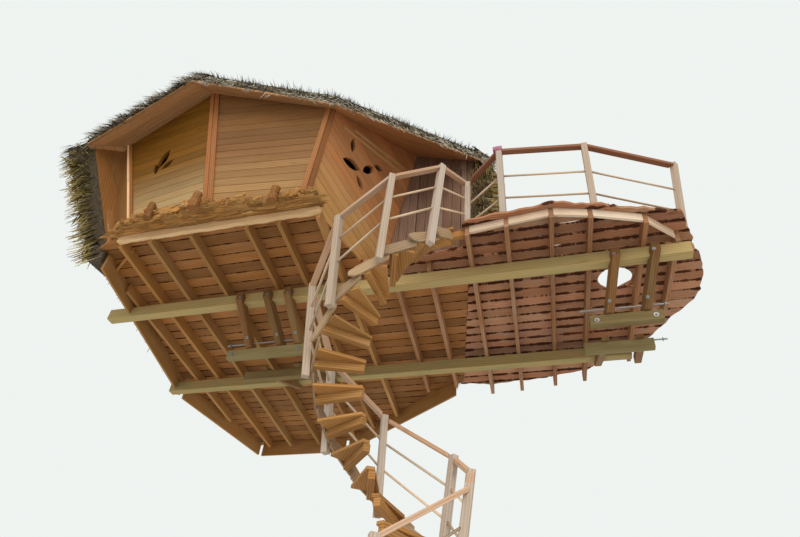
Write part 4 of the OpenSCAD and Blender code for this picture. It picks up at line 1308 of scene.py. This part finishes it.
# %% Roof thatch
roof_per_m2, edge_per_m2, eave_per_m2 = 210, 420, 700
roof_tones = (0.42, 0.08, 0.26)
overhang = 0.08
roof_up = outer_triangles("thatch_roof", lambda n, middle: n.z > 0.3)
front_half, back_half = parted(roof_up, lambda middle: middle.y < 0.9)
for name, part in (("front_roof_reed", front_half), ("back_roof_reed", back_half)):
    places, normals, runs = scatter_on(part, roof_per_m2, lift=0.04, sink=0.004)
    excess = past_eave(tips_of(places, runs, roof_stem)) - overhang
    level_share = np.linalg.norm(unit(runs)[:, :2], axis=1)
    places -= unit(runs) * (np.maximum(excess, 0.0) / level_share)[:, None]
    lay_tufts(name, roof_reed, roof_tufts, (places, normals, runs), roof_tones)

rim_faces = outer_triangles("thatch_roof", lambda n, middle: abs(n.z) < 0.5
                            and past_eave(np.array([middle]))[0] > -0.10)
left_rim, right_rim = parted(rim_faces, lambda middle: middle.x < -4.1)
for name, part, lift, tones in (("left_eave_reed", left_rim, 0.52, (0.32, 0.06, 0.33)),
                                ("right_eave_reed", right_rim, 0.34, (0.66, 0.06, 0.33))):
    laid = scatter_on(part, eave_per_m2, lift, 0.004, turn_spread=0.30, lift_spread=0.12)
    lay_tufts(name, eave_reed, eave_tufts, laid, tones)

# %% [markdown]
# ## Wall thatch
# Reed also clads the left, back and right walls. Its stems stand away from the wall much more than those
# of the roof, like a brush, with golden ends and roots darkened by painted shade. Stems whose tips would
# pass through the deck or hang below the foot of the cladding are laid flatter, and left out where even
# that is too long.

# %% Limits of the wall thatch
wall_middle = Vector((-3.9, 0.7, 1.4))
deck_edge_x, left_edge_x, above_deck = -2.2, -5.2, 0.78
left_limit, back_limit = -6.98, 4.24
wall_per_m2, end_per_m2 = 420, 700
wall_tones, low_tones = (0.50, 0.05, 0.28), (0.42, 0.05, 0.28)


def faces_out(n, middle):
    away = middle - wall_middle
    return abs(n.z) < 0.4 and n.xy.dot(away.xy) > -0.2


def tip_allowed(tips):
    """Tells which tips end above the deck, the floor's left edge or the foot of the cladding."""
    x, y, z = tips.T
    over_deck = (x > deck_edge_x) & (y < 2.1)
    along_left = (x < left_edge_x) & (y > -1.1) & (y < 2.2)
    return z > np.select([over_deck, along_left, y > -0.2], [above_deck, 1.08, 0.90], 0.47)


def lift_at(z):
    """How far stems stand off the wall: nearly level at the eave, hanging at the foot."""
    return np.clip(0.24 + 0.50 * (z - 0.65) / 1.25, 0.24, 0.74)


def keep_size(places, runs, longest):
    """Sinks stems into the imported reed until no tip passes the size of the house."""
    run = unit(runs)
    tips = places + run * longest
    past = np.maximum((left_limit - tips[:, 0]) / np.maximum(-run[:, 0], 0.3),
                      (tips[:, 1] - back_limit) / np.maximum(run[:, 1], 0.3))
    return places - run * np.maximum(past, 0.0)[:, None]


# %% Stems on the walls
wall_out = outer_triangles("wall_thatch", faces_out)
front_end = [t for t in wall_out if t[1].y < -0.8 and mean(t[0]).x < -5.0]
left_part, right_part = parted([t for t in wall_out if t not in front_end], lambda middle: middle.x < -4.6)
for name, part in (("left_wall_reed", left_part), ("right_wall_reed", right_part)):
    places, normals, runs = scatter_on(part, wall_per_m2, lift_at, sink=0.12, turn_spread=0.08)
    places = keep_size(places, runs, 0.32)
    keep = tip_allowed(tips_of(places, runs, wall_stem))
    lay_tufts(name, wall_reed, wall_tufts, (places[keep], normals[keep], runs[keep]), wall_tones)
    flat = ~keep & (places[:, 2] > 0.80)
    runs[flat] -= normals[flat] * 0.30 * np.linalg.norm(runs[flat], axis=1, keepdims=True)
    x = places[:, 0]
    lowest_tip = np.select([x > deck_edge_x, x < left_edge_x], [above_deck, 0.97], 0.60)
    flat &= tips_of(places, runs, 0.26)[:, 2] > lowest_tip
    laid = (places[flat] + normals[flat] * 0.08, normals[flat], runs[flat])
    lay_tufts(name + "_low", wall_reed, wall_tufts, laid, low_tones)

# %% [markdown]
# ## Edge and end of the cladding
# The cladding wraps round the edge of the roof. Its sloping top is covered like the roof. The cladding
# ends at the cheek. Beside the boards its cut end is bare, and dark with the painted shade of the packed
# reed; further out, stems of the side wall stand across it, so they point straight away from the cheek.

# %% Edge of the cladding
sloping_top = outer_triangles("wall_thatch", lambda n, middle: 0.4 < n.z < 0.95)
places, normals, runs = scatter_on(sloping_top, edge_per_m2, lift=0.06, sink=0.004)
laid = (keep_size(places, runs, 0.25), normals, runs)
lay_tufts("edge_reed", roof_reed, edge_tufts, laid, roof_tones)

# %% End of the cladding
cheek_foot_x, cheek_foot_z, cheek_slope = -5.50, 0.76, 0.37 / 1.30
bare_to, stems_to = 0.07, 0.19
places, normals, runs = scatter_on(front_end, end_per_m2, lift=0.0, sink=0.0)
cheek_x = cheek_foot_x - cheek_slope * (places[:, 2] - cheek_foot_z)
runs = np.array([-0.94, -0.22, 0.0]) + scatter_rng.normal(0, 0.08, places.shape)
runs[:, 2] -= 1.05 - 1.1 * lift_at(places[:, 2])
places = keep_size(places, runs, 0.32)
from_cheek = cheek_x - places[:, 0]
keep = (from_cheek > bare_to) & (from_cheek < stems_to) & tip_allowed(tips_of(places, runs, wall_stem))
laid = (places[keep], normals[keep], runs[keep])
lay_tufts("front_end_reed", wall_reed, wall_tufts, laid, wall_tones)
